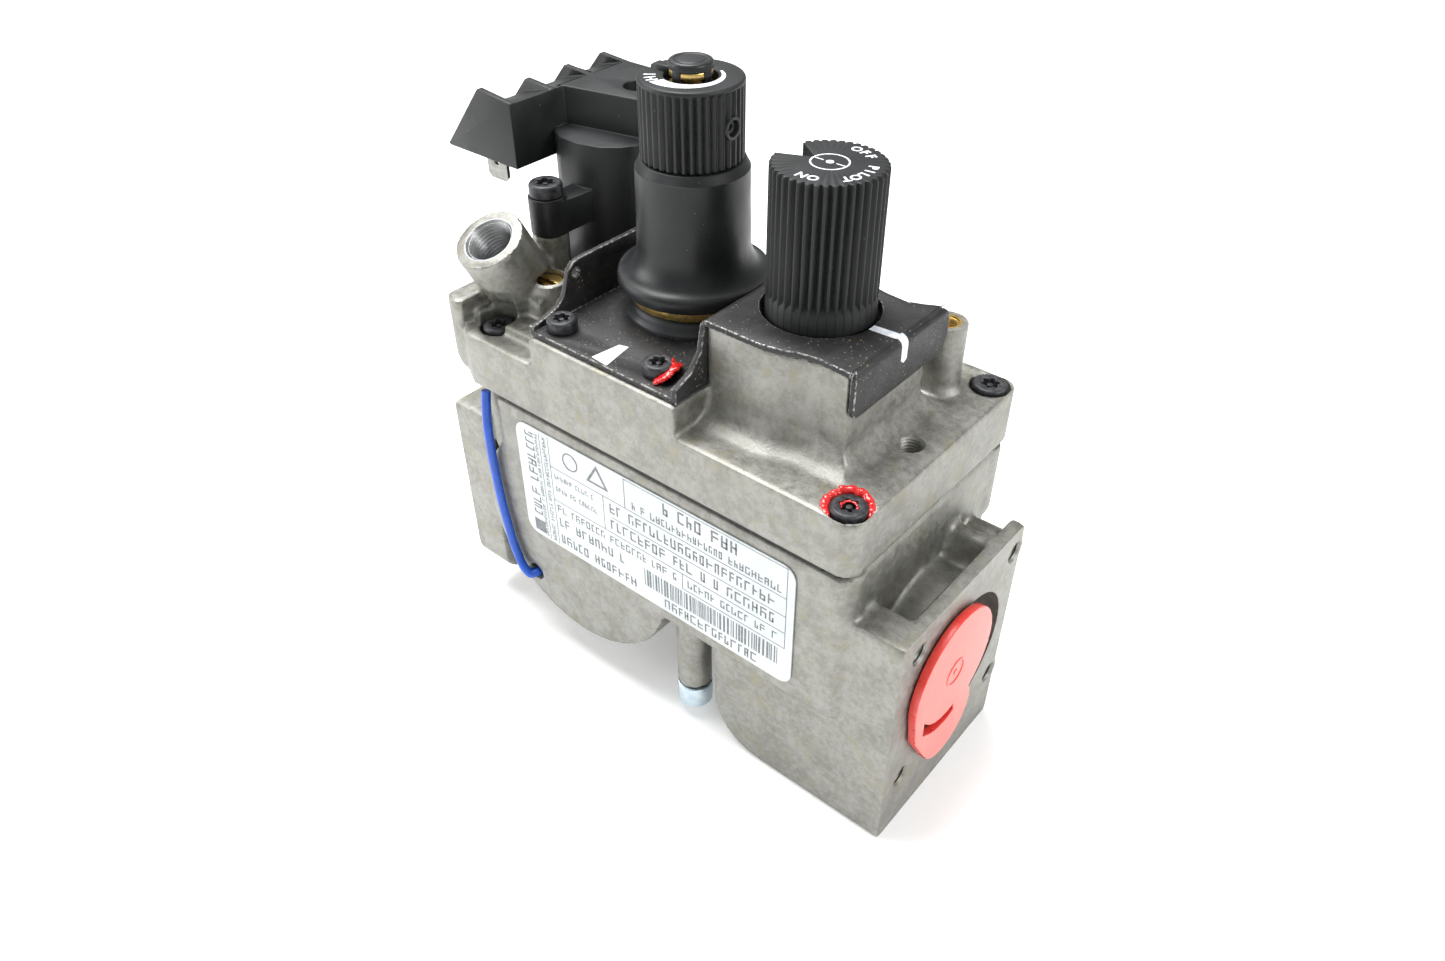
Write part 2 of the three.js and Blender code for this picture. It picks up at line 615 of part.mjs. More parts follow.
function hiLoKnob() {
  const { x, y } = REG;
  const { bottom, top, r, count } = HI_LO;
  const grip = slab(fluted(x, y, r, r - 0.65, count), [bottom + 0.6, top]);
  const foot = pillar(x, y, r - 0.8, [bottom, bottom + 0.8], 24);
  const bore = pillar(x, y, 4.3, [bottom - 1, top + 1], 16);
  const keyway = block([x - 10, x - 3.6], [y - 1.3, y + 1.3], [top - 2.2, top + 1]);
  const screwHole = barX(y, (bottom + top) / 2 - 0.6, 1.3 + GAP, [x + 3, x + r + 1], SMALL);
  return cut(join(grip, foot), bore, keyway, screwHole);
}

function hiLoStem() {
  const { x, y } = REG;
  return turned([
    [0, 112], [6.8, 112], [6.8, 115.4], [4, 115.4], [4, 133.4], [3.4, 133.4], [3.4, 134.4],
    [4, 134.4], [4, 135.6], [0, 135.6],
  ], x, y, 16);
}

/** The clip cap on the stem, with the key that drops into the knob's keyway. */
function clipCap() {
  const { x, y } = REG;
  const disc = pillar(x, y, 4.1, [136, 137.6], 16);
  const key = block([x - 8.6, x - 4.3], [y - 1, y + 1], [133.4, 135.6]);
  const neck = block([x - 6.6, x - 4.3], [y - 1, y + 1], [135.5, 137.2]);
  const bridge = block([x - 6.6, x - 3], [y - 1, y + 1], [136.1, 137.2]);
  return join(disc, key, neck, bridge);
}

function hiLoSetScrew() {
  const { x, y } = REG;
  const { bottom, top, r } = HI_LO;
  const z = (bottom + top) / 2 - 0.6;
  const screw = barX(y, z, 1.3, [x + 4 + GAP, x + r - 1.6], SMALL);
  return cut(screw, barX(y, z, 0.6, [x + r - 3, x + r], 6));
}

function springSeat() {
  return turned([
    [0, 105.5], [3, 105.5], [3, 107.1], [7.6, 107.1], [7.6, 109.5], [0, 109.5],
  ], REG.x, REG.y, 24);
}

function regulatorDiaphragm() {
  return turned([
    [0, 76.3], [7.4, 76.3], [8.6, 77.2], [11.2, 76.3], [11.2, 77.2], [9, 77.7], [8.6, 78],
    [7, 77.6], [0, 77.6],
  ], REG.x, REG.y, 24);
}

// ---------------------------------------------------------------- main valve line

function mainSeat() {
  const { x, y, seat } = MAIN;
  return turned([
    [6.8, seat - 0.6], [8.7, seat - 0.6], [8.7, seat + 4.4], [7.6, seat + 5], [6.8, seat + 4.4],
    [6.8, seat - 0.6],
  ], x, y);
}

function mainValveDisc() {
  const { x, y, seat } = MAIN;
  return join(
    pillar(x, y, 9.6, [seat + 5.2, seat + 8]),
    pillar(x, y, 2, [seat + 7, 65], SMALL),
    pillar(x, y, 11, [64.4, 65.6]),
  );
}

function mainDiaphragm() {
  const { x, y } = MAIN;
  return turned([
    [11.6, 64.8], [13.2, 64.8], [14.4, 63.8], [15.6, 65.6], [17.1, 65.6], [17.1, 66.6],
    [15, 66.6], [14.3, 65.2], [13.4, 65.8], [11.6, 65.8], [11.6, 64.8],
  ], x, y);
}

// ---------------------------------------------------------------- electric operator

/** The end profile of the terminal row: upright back, flat top and a sloping terminal face. */
function rowProfile() {
  const [x0, x1] = TERMINAL.x;
  const [z0, z1] = TERMINAL.z;
  return { x0, x1, z0, z1, slopeTop: x0 + 12.4, nose: z0 + 0.4 };
}

function terminalBlock() {
  const { x0, x1, z0, z1, slopeTop, nose } = rowProfile();
  const [y0, y1] = TERMINAL.y;
  const { pitch } = TERMINAL;
  const wall = 1.6;
  const cheek = polygon([[x0, nose], [x0 + 0.6, z0], [x1, z0], [x1, z1], [slopeTop, z1 + 1]]);
  const fin = polygon([[x0 + 2.4, z0 + 1], [x1, z0], [x1, z1], [slopeTop + 2, z1 + 0.6]]);
  const bedShape = polygon([[x0 + 6, z0], [x1, z0], [x1, z1], [x0 + 13.6, z1 - 2.4]]);
  const bed = wallY(bedShape, [y0 + 0.4, y1 - 0.4]);
  const fins = [0, 1, 2, 3].map((i) => {
    const at = Math.min(y0 + i * pitch, y1 - wall);
    return wallY(i === 0 ? cheek : fin, [at, at + wall]);
  });
  const head = slab(polygon([[x1 - 1, 40], [-98, 44], [-96, 61], [x1 - 1, 61]]), [
    LUG.top + 8.2, z1,
  ]);
  const towerShape = new THREE.Shape();
  towerShape.moveTo(-118.4, 61);
  towerShape.lineTo(-118.4, 40);
  towerShape.quadraticCurveTo(-117, 32.4, -107, 33.4);
  towerShape.quadraticCurveTo(-98, 34.6, -96, 42);
  towerShape.lineTo(-96, 61);
  const tower = slab(towerShape, [LEFT_TIER.top + 0.1, LUG.top + 8.6]);
  const lug = join(
    pillar(LUG.x, LUG.y, LUG.r, [LUG.post + 0.1, LUG.top]),
    block([LUG.x - 1.8, LUG.x + LUG.r], [LUG.y, 38], [LUG.post + 0.1, LUG.top - 1]),
  );
  const holes = [
    pillar(-104.6, 50.5, 3.4, [z1 - 9, z1 + 1], 20),
    pillar(LUG.x, LUG.y, 1.5 + GAP, [LUG.post - 1, LUG.top + 1], SMALL),
    pillar(COIL.x, COIL.y, 3, [80, 92], SMALL),
  ];
  for (const [sx, sy, sz] of terminalCentres()) {
    holes.push(placed(
      new THREE.CylinderGeometry(1.4 + GAP, 1.4 + GAP, 14, SMALL).rotateX(Math.PI / 2),
      terminalMatrix(sx, sy, sz),
    ));
  }
  const tab = block([-130.4, -123.4], [y0 + 2.3, y0 + 3.9], [z0 - 1, z0 + 4]);
  return cut(join(bed, ...fins, head, tower, lug), ...holes, tab);
}

/** The seat of each terminal screw on the sloping face. */
function terminalCentres() {
  const { x0, z0 } = rowProfile();
  const middle = [0, 1, 2].map((i) => TERMINAL.y[0] + TERMINAL.pitch * (i + 0.5) + 0.8);
  return middle.map((y) => [x0 + 9.6, y, z0 + 6.3]);
}

function terminalMatrix(x, y, z) {
  const matrix = new THREE.Matrix4().makeRotationY(-SLOPE);
  return matrix.setPosition(x, y, z);
}

function terminalScrew(centre) {
  const { headR, headH, shankR, length } = TERMINAL_SCREW;
  const profile = [[0, -length], [shankR, -length], [shankR, GAP], [headR, GAP],
    [headR, headH], [headR - 0.5, headH + 0.4], [0, headH + 0.4]];
  const points = profile.map(([r, z]) => new THREE.Vector2(r, z));
  const screw = new THREE.LatheGeometry(points, 12).rotateX(Math.PI / 2);
  const slot = new THREE.BoxGeometry(2 * headR + 1, 0.8, 1.2).translate(0, 0, headH + 0.4);
  const matrix = terminalMatrix(...centre);
  return placed(screw, matrix).subtract(placed(slot, matrix));
}

function quickConnectTab() {
  const { z0 } = rowProfile();
  const y = TERMINAL.y[0] + 2.3 + GAP;
  const shape = new THREE.Shape();
  shape.moveTo(-130.1, z0 + 3.6);
  shape.lineTo(-130.1, z0 - 4.6);
  shape.lineTo(-129.1, z0 - 5.6);
  shape.lineTo(-124.7, z0 - 5.6);
  shape.lineTo(-123.7, z0 - 4.6);
  shape.lineTo(-123.7, z0 + 3.6);
  const blade = wallY(shape, [y, y + 0.8]);
  return blade.subtract(barY(-126.9, z0 - 1.4, 0.9, [y - 1, y + 2], SMALL));
}

function operatorCoil() {
  return ring(COIL.x, COIL.y, 3.4, COIL.r - GAP, [70.4, 81.6]);
}

function operatorPlunger() {
  return join(
    pillar(COIL.x, COIL.y, 3, [68.8, 80.4], 16),
    pillar(COIL.x, COIL.y, 4.4, [67.9, 69], 16),
  );
}

// ---------------------------------------------------------------- small pieces

function inletCap() {
  const face = [GAP, 2.1];
  const [discY, discZ, discR] = [21.4, 36.4, 14.3];
  const [tabY, tabZ, tabR] = [22.4, 20.4, 8.9];
  const disc = barX(discY, discZ, discR, face, 32);
  const tab = barX(tabY, tabZ, tabR, face, 20);
  const web = wallX(polygon([[7.4, 33.6], [8.8, 25.8], [14.4, 16.4], [29, 22], [24, 36]]), face);
  const plug = barX(discY, discZ, 9, [-4, 1]).subtract(barX(discY, discZ, 7.8, [-5, 0.4]));
  const slotOuter = barX(discY, discZ, 14.4, [-1, 4], 28);
  const slotInner = barX(discY, discZ, 11.9, [-2, 5], 28);
  const window = wallX(polygon([[21.4, 36.4], [11.6, 31], [11.6, 14], [25, 18]]), [-1, 4]);
  const slot = slotOuter.subtract(slotInner).intersect(window);
  return cut(join(disc, tab, web, plug), slot);
}

function inletFilter() {
  return barX(BORE.y, BORE.z, BORE.pipe - GAP, [-20.4, -19.2])
    .subtract(barX(BORE.y, BORE.z, BORE.pipe - 1.6, [-21, -19.8]));
}

function ratingLabel() {
  const outline = rounded([-97, -22], [33.6, 64.4], [3, 3, 3, 3]);
  return wallY(outline, [-0.35, -0.1]);
}

function columnPlug() {
  return join(
    pillar(COLUMN.x, COLUMN.y, 4, [COLUMN.z - 6, COLUMN.z - 0.2], 16),
    pillar(COLUMN.x, COLUMN.y, 2, [COLUMN.z - 0.4, COLUMN.z + 8], SMALL),
  );
}

function footPlug() {
  const { x, y, height } = FOOT;
  return pillar(x, y, 6.6, [0, height], 6);
}

const WIRE_POINTS = [
  [-107.2, 0.9, GASKET_Z - 0.4], [-106.8, -0.2, 61], [-106, -1.1, 53.6], [-105.4, -1.3, 45],
  [-104.2, -1.3, 33.7], [-101.6, -1.3, 22.6], [-99.6, -1.3, 19.4], [-98.4, -0.9, 18.5],
  [-97.7, 0.4, 18.6], [-97.6, 2.6, 18.8],
];

// ---------------------------------------------------------------- assembly

const valve = new THREE.Group();

function add(name, piece, material) {
  const geometry = piece.isBufferGeometry ? piece : toGeometry(piece);
  const mesh = new THREE.Mesh(geometry, material());
  mesh.name = name;
  valve.add(mesh);
}

add('lower_body', lowerBody(), CAST);
add('upper_cover', upperCover(), CAST);
add('cover_gasket', coverGasket(), RUBBER);
add('mounting_bracket', bracket(), BLACK_STEEL);
for (const [place, [x, y]] of Object.entries(CORNER_SCREWS)) {
  add(`cover_screw_${place}`, socketScrew(x, y, SCREW_SEAT_Z + 0.1, COVER_SCREW), BLACK_SCREW);
}
for (const [i, [x, y]] of BRACKET_SCREWS.entries()) {
  const z = HIGH_TIER.top + 0.2 + SHEET;
  add(`bracket_screw_${i + 1}`, socketScrew(x, y, z, BRACKET_SCREW), BLACK_SCREW);
}

add('control_knob', controlKnob(), BLACK_PLASTIC);
add('knob_spindle', knobSpindle(), BRASS);
add('knob_return_spring', coilSpring(KNOB.x, KNOB.y, 6.6, [84.1, 98.9], 6, 0.55), STEEL);
add('spindle_o_ring', ring(KNOB.x, KNOB.y, 3.15, 4.7, [GASKET_Z + 4.1, GASKET_Z + 5.7], 20), RUBBER);
add('control_rotor', controlRotor(), BRASS);
add('safety_valve_seat', safetySeat(), BRASS);
add('safety_valve_disc', safetyDisc(), STEEL);
add('safety_valve_spring', coilSpring(KNOB.x, KNOB.y, 7.6, [26.2, 39.4], 4, 0.5), STEEL);
add('holding_magnet', magnetUnit(), STEEL);

add('regulator_base_ring', regulatorBase(), BLACK_PLASTIC);
add('regulator_body', regulatorBody(), BRASS);
add('regulator_sleeve', regulatorSleeve(), BLACK_PLASTIC);
add('hi_lo_knob', hiLoKnob(), BLACK_PLASTIC);
add('hi_lo_set_screw', hiLoSetScrew(), BLACK_SCREW);
add('hi_lo_stem', hiLoStem(), BRASS);
add('hi_lo_clip_cap', clipCap(), BLACK_PLASTIC);
add('regulator_spring_seat', springSeat(), STEEL);
add('regulator_spring', coilSpring(REG.x, REG.y, 5.6, [78.2, 106.9], 8, 0.6), STEEL);
add('regulator_diaphragm', regulatorDiaphragm(), RUBBER);

add('main_valve_seat', mainSeat(), BRASS);
add('main_valve_disc', mainValveDisc(), STEEL);
add('main_diaphragm', mainDiaphragm(), RUBBER);
add('main_valve_spring', coilSpring(MAIN.x, MAIN.y, 8, [65.8, 71.8], 3, 0.5), STEEL);

add('terminal_block', terminalBlock(), BLACK_PLASTIC);
add('terminal_block_screw', socketScrew(LUG.x, LUG.y, LUG.top + 0.1, LUG_SCREW), BLACK_SCREW);
for (const [i, centre] of terminalCentres().entries()) {
  add(`terminal_screw_${i + 1}`, terminalScrew(centre), STEEL);
}
add('quick_connect_tab', quickConnectTab(), STEEL);
add('operator_coil', operatorCoil(), COPPER);
add('operator_plunger', operatorPlunger(), STEEL);

add('pilot_adjusting_screw',
  slottedScrew(PILOT_SCREW.x, PILOT_SCREW.y, PILOT_SCREW.r, PILOT_SCREW.top - 0.9, 7), BRASS);
add('post_insert', ring(POST.x, POST.y, 1.8, 2.65, [POST.top - 7.8, POST.top - 0.1], SMALL), BRASS);
add('inlet_cap', inletCap(), RED);
add('inlet_filter', inletFilter(), STEEL);
add('rating_label', ratingLabel(), LABEL);
add('column_plug', columnPlug(), ZINC);
add('foot_plug', footPlug(), ZINC);
add('blue_wire', wire(WIRE_POINTS, 1.05, 22, 8), BLUE);

const box = new THREE.Box3().setFromObject(valve);
const centre = box.getCenter(new THREE.Vector3());
valve.position.set(-centre.x, -centre.y, -box.min.z);

export default valve;
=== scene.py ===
# %% [markdown]
# # A combination gas valve
# The real valve is two aluminium die castings clamped on a gasket. On top stand a
# push-and-turn knob, a tall regulator with its Hi/Lo knob, a pilot outlet and an electric
# operator with a terminal block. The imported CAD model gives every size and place, so each
# piece here is made around it and rides on one of its bodies.

# %% Load the frame
import math
import random
from contextlib import contextmanager

import bpy
from mathutils import Matrix, Vector


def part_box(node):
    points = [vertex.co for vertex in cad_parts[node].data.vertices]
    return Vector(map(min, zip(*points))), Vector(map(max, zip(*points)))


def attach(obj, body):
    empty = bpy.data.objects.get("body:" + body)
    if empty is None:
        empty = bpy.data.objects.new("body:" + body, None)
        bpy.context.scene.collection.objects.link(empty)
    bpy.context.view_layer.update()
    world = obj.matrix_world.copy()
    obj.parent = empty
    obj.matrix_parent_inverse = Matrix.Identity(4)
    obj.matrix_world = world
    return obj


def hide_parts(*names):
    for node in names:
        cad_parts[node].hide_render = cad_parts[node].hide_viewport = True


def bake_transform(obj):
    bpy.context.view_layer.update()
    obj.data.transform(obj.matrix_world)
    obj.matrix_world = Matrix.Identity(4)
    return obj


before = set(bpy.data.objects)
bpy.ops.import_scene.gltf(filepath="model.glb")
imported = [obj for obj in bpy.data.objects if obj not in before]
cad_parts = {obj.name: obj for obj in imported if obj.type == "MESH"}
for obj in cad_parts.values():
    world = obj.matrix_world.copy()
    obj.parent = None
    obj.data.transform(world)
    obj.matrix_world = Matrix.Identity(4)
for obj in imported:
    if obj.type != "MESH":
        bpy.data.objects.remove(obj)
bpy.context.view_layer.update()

scene = bpy.context.scene
scene.view_settings.view_transform = "Standard"

# %% [markdown]
# The drawings of such a valve measure from one corner: the inlet flange face, the label
# face and the underside. All sizes below are millimetres from that corner, and `at` turns
# them into Blender's metres in the shared frame.

# %% Measuring from one corner
MM = 0.001
BODY_LOW, BODY_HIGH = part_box("lower_body")
CORNER = Vector((BODY_HIGH.x, BODY_LOW.y, BODY_LOW.z))


def at(x, y, z):
    """A point in the shared frame, from millimetres measured at the valve's corner."""
    return CORNER + MM * Vector((x, y, z))


def spot(node):
    """The middle of a CAD node's footprint, in millimetres from the corner."""
    low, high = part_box(node)
    middle = ((low + high) / 2 - CORNER) / MM
    return middle.x, middle.y


KNOB = spot("control_rotor")
REGULATOR = spot("regulator_sleeve")
GASKET_Z = (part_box("cover_gasket")[0].z - CORNER.z) / MM
print("knob line", [round(v, 2) for v in KNOB], "regulator line", [round(v, 2) for v in REGULATOR])

# %% [markdown]
# ## Camera
# The valve is seen from above its near right corner, quite close, so the lens is wide.
# A camera looks along its own -Z, so its matrix is built from a right, an up and a back
# direction.

# %% Camera
LENS_MM = 27.31
CAMERA_AZIMUTH = math.radians(39.67)
CAMERA_ELEVATION = math.radians(38.47)
CAMERA_PLACE = (59.6, -119.5, 199.7)


def add_camera():
    """A camera at a close three-quarter view from above."""
    az, el = CAMERA_AZIMUTH, CAMERA_ELEVATION
    back = Vector((math.sin(az) * math.cos(el), -math.cos(az) * math.cos(el), math.sin(el)))
    right = Vector((math.cos(az), math.sin(az), 0))
    up = back.cross(right)
    bpy.ops.object.camera_add()
    camera = bpy.context.active_object
    turn = Matrix((right, up, back)).transposed().to_4x4()
    camera.matrix_world = Matrix.Translation(at(*CAMERA_PLACE)) @ turn
    camera.data.lens = LENS_MM
    camera.data.sensor_width = 36
    camera.data.clip_start = 0.01
    scene.camera = camera
    return camera


print("camera at", [round(v, 3) for v in add_camera().location])

# %% [markdown]
# ## Studio
# The valve stands in a light tent: a white floor, a white sky and a few large soft lamps.
# The lamps differ in strength, because metal only shows its shape when what it reflects
# isn't the same all round.

# %% Studio floor, sky and lamps
FLOOR_SIZE = 6
SKY_STRENGTH = 0.5
LAMP_TARGET = Vector((0, 0, 0.06))
LAMPS = (
    # name, place, size and power in watts
    ("lamp_above", (-0.25, 0.05, 0.75), 0.5, 9.5),
    ("lamp_left", (-0.75, -0.5, 0.35), 0.5, 4.5),
    ("lamp_right", (0.7, 0.1, 0.5), 0.35, 3.5),
)


def add_lamp(name, place, size, power):
    """A square soft lamp that shines at the valve."""
    bpy.ops.object.light_add(type="AREA", location=place)
    lamp = bpy.context.active_object
    lamp.name = name
    lamp.data.size = size
    lamp.data.energy = power
    aim = LAMP_TARGET - Vector(place)
    lamp.rotation_euler = aim.to_track_quat("-Z", "Y").to_euler()


def add_studio():
    """Floor, sky and lamps."""
    bpy.ops.mesh.primitive_plane_add(size=FLOOR_SIZE)
    floor = bpy.context.active_object
    floor.name = "studio_floor"
    paper = bpy.data.materials.new("studio_paper")
    paper.use_nodes = True
    shader = paper.node_tree.nodes["Principled BSDF"]
    shader.inputs["Base Color"].default_value = (0.93, 0.935, 0.93, 1)
    shader.inputs["Roughness"].default_value = 0.9
    shader.inputs["Emission Color"].default_value = (1, 1, 1, 1)
    shader.inputs["Emission Strength"].default_value = 0.2
    floor.data.materials.append(paper)
    world = bpy.data.worlds.new("white_tent")
    world.use_nodes = True
    sky = world.node_tree.nodes["Background"]
    sky.inputs["Color"].default_value = (1, 1, 1, 1)
    sky.inputs["Strength"].default_value = SKY_STRENGTH
    scene.world = world
    for lamp in LAMPS:
        add_lamp(*lamp)


add_studio()
print("studio:", [lamp[0] for lamp in LAMPS])

# %% [markdown]
# ## Working in edit mode from a script
# Blender's operators act on what is selected, so every helper first deselects everything
# and then selects what it needs. These few helpers are the whole workshop: add a
# primitive, trace an outline, spin or extrude it, cut, join, bevel and remesh.

# %% Selecting and editing
WELD = 2e-6  # metres: points closer than this are one point


def alone(*pieces):
    """Selects only these pieces, the first one active."""
    bpy.ops.object.select_all(action="DESELECT")
    for piece in pieces:
        piece.select_set(True)
    bpy.context.view_layer.objects.active = pieces[0]


@contextmanager
def editing(piece, select="SELECT"):
    """Edit mode on one piece, with all, nothing, or (None) what is already selected."""
    if select:
        scene.tool_settings.mesh_select_mode = (True, False, False)
    alone(piece)
    bpy.ops.object.mode_set(mode="EDIT")
    if select:
        bpy.ops.mesh.select_all(action=select)
    yield
    bpy.ops.object.mode_set(mode="OBJECT")


def settle(piece):
    """Puts the place, turn and size into the mesh, so that the object sits at the origin."""
    alone(piece)
    bpy.ops.object.transform_apply(location=True, rotation=True, scale=True)
    return piece


def outward(piece):
    """Merges doubled points and turns every face outwards."""
    with editing(piece):
        bpy.ops.mesh.remove_doubles(threshold=WELD)
        bpy.ops.mesh.normals_make_consistent(inside=False)
    return piece


def apply_modifier(piece, kind, **settings):
    """Adds one modifier with these settings and applies it."""
    modifier = piece.modifiers.new(kind.lower(), kind)
    for name, value in settings.items():
        setattr(modifier, name, value)
    alone(piece)
    bpy.ops.object.modifier_apply(modifier=modifier.name)
    return piece


print("selecting and editing ready")

# %% [markdown]
# Every piece starts as something simple at its true place: a box between two corners, a
# rod between two points, or a traced line that is pushed into a prism or spun into a
# turned shape. Starting in place saves moving and scaling afterwards.

# %% Primitives at their size and place
def block(name, low, high):
    """A box between two corners, in millimetres."""
    low, high = at(*low), at(*high)
    bpy.ops.mesh.primitive_cube_add(size=1, location=(low + high) / 2)
    piece = bpy.context.active_object
    piece.name = name
    piece.scale = high - low
    return settle(piece)


def rod(name, start, end, r, end_r=None, sides=48):
    """A cylinder or cone from one point to another, radii in millimetres."""
    a, b = at(*start), at(*end)
    turn = (b - a).to_track_quat("Z", "Y").to_euler()
    bpy.ops.mesh.primitive_cone_add(
        vertices=sides, radius1=r * MM, radius2=(r if end_r is None else end_r) * MM,
        depth=(b - a).length, location=(a + b) / 2, rotation=turn)
    piece = bpy.context.active_object
    piece.name = name
    return settle(piece)


def trace(name, points, close=False):
    """Draws a line from point to point, as by hand: one vertex, extruded along the way."""
    points = [at(*p) for p in points]
    bpy.ops.mesh.primitive_plane_add(size=MM, location=points[0])
    piece = settle(bpy.context.active_object)
    piece.name = name
    with editing(piece):
        bpy.ops.mesh.merge(type="CENTER")
        for here, there in zip(points, points[1:]):
            bpy.ops.mesh.extrude_region_move(TRANSFORM_OT_translate={"value": there - here})
        if close:
            bpy.ops.mesh.select_all(action="SELECT")
            bpy.ops.mesh.edge_face_add()
    return piece


def prism(name, outline, *steps):
    """A traced face pushed along one direction after another, in millimetres."""
    piece = trace(name, outline, close=True)
    with editing(piece):
        for step in steps:
            bpy.ops.mesh.extrude_region_move(TRANSFORM_OT_translate={"value": MM * Vector(step)})
        bpy.ops.mesh.select_all(action="SELECT")
        bpy.ops.mesh.normals_make_consistent(inside=False)
    return piece


def slab(name, outline, z):
    """A plate with its outline in plan, from one height to another."""
    return prism(name, [(x, y, z[0]) for x, y in outline], (0, 0, z[1] - z[0]))


def lathe(name, profile, centre, sides=64):
    """A turned piece about an upright line: a traced profile of (radius, height), spun."""
    cx, cy = centre
    loop = list(profile) + [profile[0]]
    piece = trace(name, [(cx + r, cy, z) for r, z in loop])
    with editing(piece):
        bpy.ops.mesh.spin(steps=sides, angle=2 * math.pi, center=at(cx, cy, 0), axis=(0, 0, 1))
    return outward(piece)


def arc(centre, r, start, end, steps=8):
    """Points on an arc, angles in degrees."""
    angles = [math.radians(start + (end - start) * i / steps) for i in range(steps + 1)]
    return [(centre[0] + r * math.cos(a), centre[1] + r * math.sin(a)) for a in angles]


def rounded(x, y, radii, steps=6):
    """A rectangle with a radius at each corner, from low-left anticlockwise."""
    r1, r2, r3, r4 = radii
    return (arc((x[0] + r1, y[0] + r1), r1, 180, 270, steps) +
            arc((x[1] - r2, y[0] + r2), r2, 270, 360, steps) +
            arc((x[1] - r3, y[1] - r3), r3, 0, 90, steps) +
            arc((x[0] + r4, y[1] - r4), r4, 90, 180, steps))


print("primitives ready")

# %% [markdown]
# A start becomes a piece by joining, cutting and softening. `cad_copy` welds a copy of a
# CAD solid, because the solid itself is loose triangles and stays untouched. `finish` is
# the last step for every piece, so none is left without a body or smooth shading.

# %% Joining, cutting and finishing shapes
def together(name, *pieces):
    """Several pieces as one mesh."""
    alone(*pieces)
    if len(pieces) > 1:
        bpy.ops.object.join()
    piece = bpy.context.active_object
    piece.name = name
    return piece


def boolean(piece, tool, operation="DIFFERENCE"):
    """Cuts or joins one piece with another, which is used up."""
    apply_modifier(piece, "BOOLEAN", operation=operation, object=tool, solver="EXACT", use_self=False)
    bpy.data.objects.remove(tool)
    return piece


def bevel(piece, width, segments=2, angle=35, **settings):
    """Breaks the sharp edges, width in millimetres."""
    return apply_modifier(
        piece, "BEVEL", width=width * MM, segments=segments, limit_method="ANGLE",
        angle_limit=math.radians(angle), use_clamp_overlap=False, **settings)


def cad_copy(node, name):
    """A copy of a CAD solid, welded into one clean mesh that may be worked on."""
    piece = bpy.data.objects.new(name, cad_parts[node].data.copy())
    scene.collection.objects.link(piece)
    piece.data.materials.clear()
    with editing(piece):
        bpy.ops.mesh.remove_doubles(threshold=WELD)
        bpy.ops.mesh.dissolve_limited(angle_limit=math.radians(1))
    return piece


def cast(piece, voxel, rounds):
    """Gives a solid the soft edges of a die casting: small voxels, then smoothing."""
    apply_modifier(piece, "REMESH", mode="VOXEL", voxel_size=voxel * MM)
    return apply_modifier(piece, "SMOOTH", factor=0.5, iterations=rounds)


def shade(piece, angle=35):
    """Smooth shading that keeps edges sharper than this angle."""
    alone(piece)
    bpy.ops.object.shade_smooth_by_angle(angle=math.radians(angle))
    return piece


def finish(piece, body, slot, material, *nodes):
    """The last step for every piece: its finish, what it rides on and what it stands for."""
    shade(piece)
    if material is not None:
        piece.data.materials.clear()
        piece.data.materials.append(material)
    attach(piece, body)
    if nodes:
        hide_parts(*nodes)
    triangles = sum(len(p.vertices) - 2 for p in piece.data.polygons)
    print(f"{piece.name}: {triangles} triangles on {body}")
    return piece


print("workshop ready, welding within", WELD, "m")

# %% [markdown]
# ## Materials as formulas
# A procedural material is a sum of patterns. Written as nodes it is hard to read, so this
# small class lets a pattern be written as a formula: `1 - grain * 0.3` adds the Math nodes.

# %% A value in a material's node tree
class Value:
    """A number that varies over the surface. Arithmetic on it adds Math nodes."""

    def __init__(self, finish_, socket):
        self.finish = finish_
        self.socket = socket

    def _math(self, operation, a, b):
        return self.finish.node("ShaderNodeMath", {"operation": operation}, {0: a, 1: b})

    def __add__(self, other):
        return self._math("ADD", self, other)

    def __radd__(self, other):
        return self._math("ADD", other, self)

    def __sub__(self, other):
        return self._math("SUBTRACT", self, other)

    def __rsub__(self, other):
        return self._math("SUBTRACT", other, self)

    def __mul__(self, other):
        return self._math("MULTIPLY", self, other)

    def __rmul__(self, other):
        return self._math("MULTIPLY", other, self)


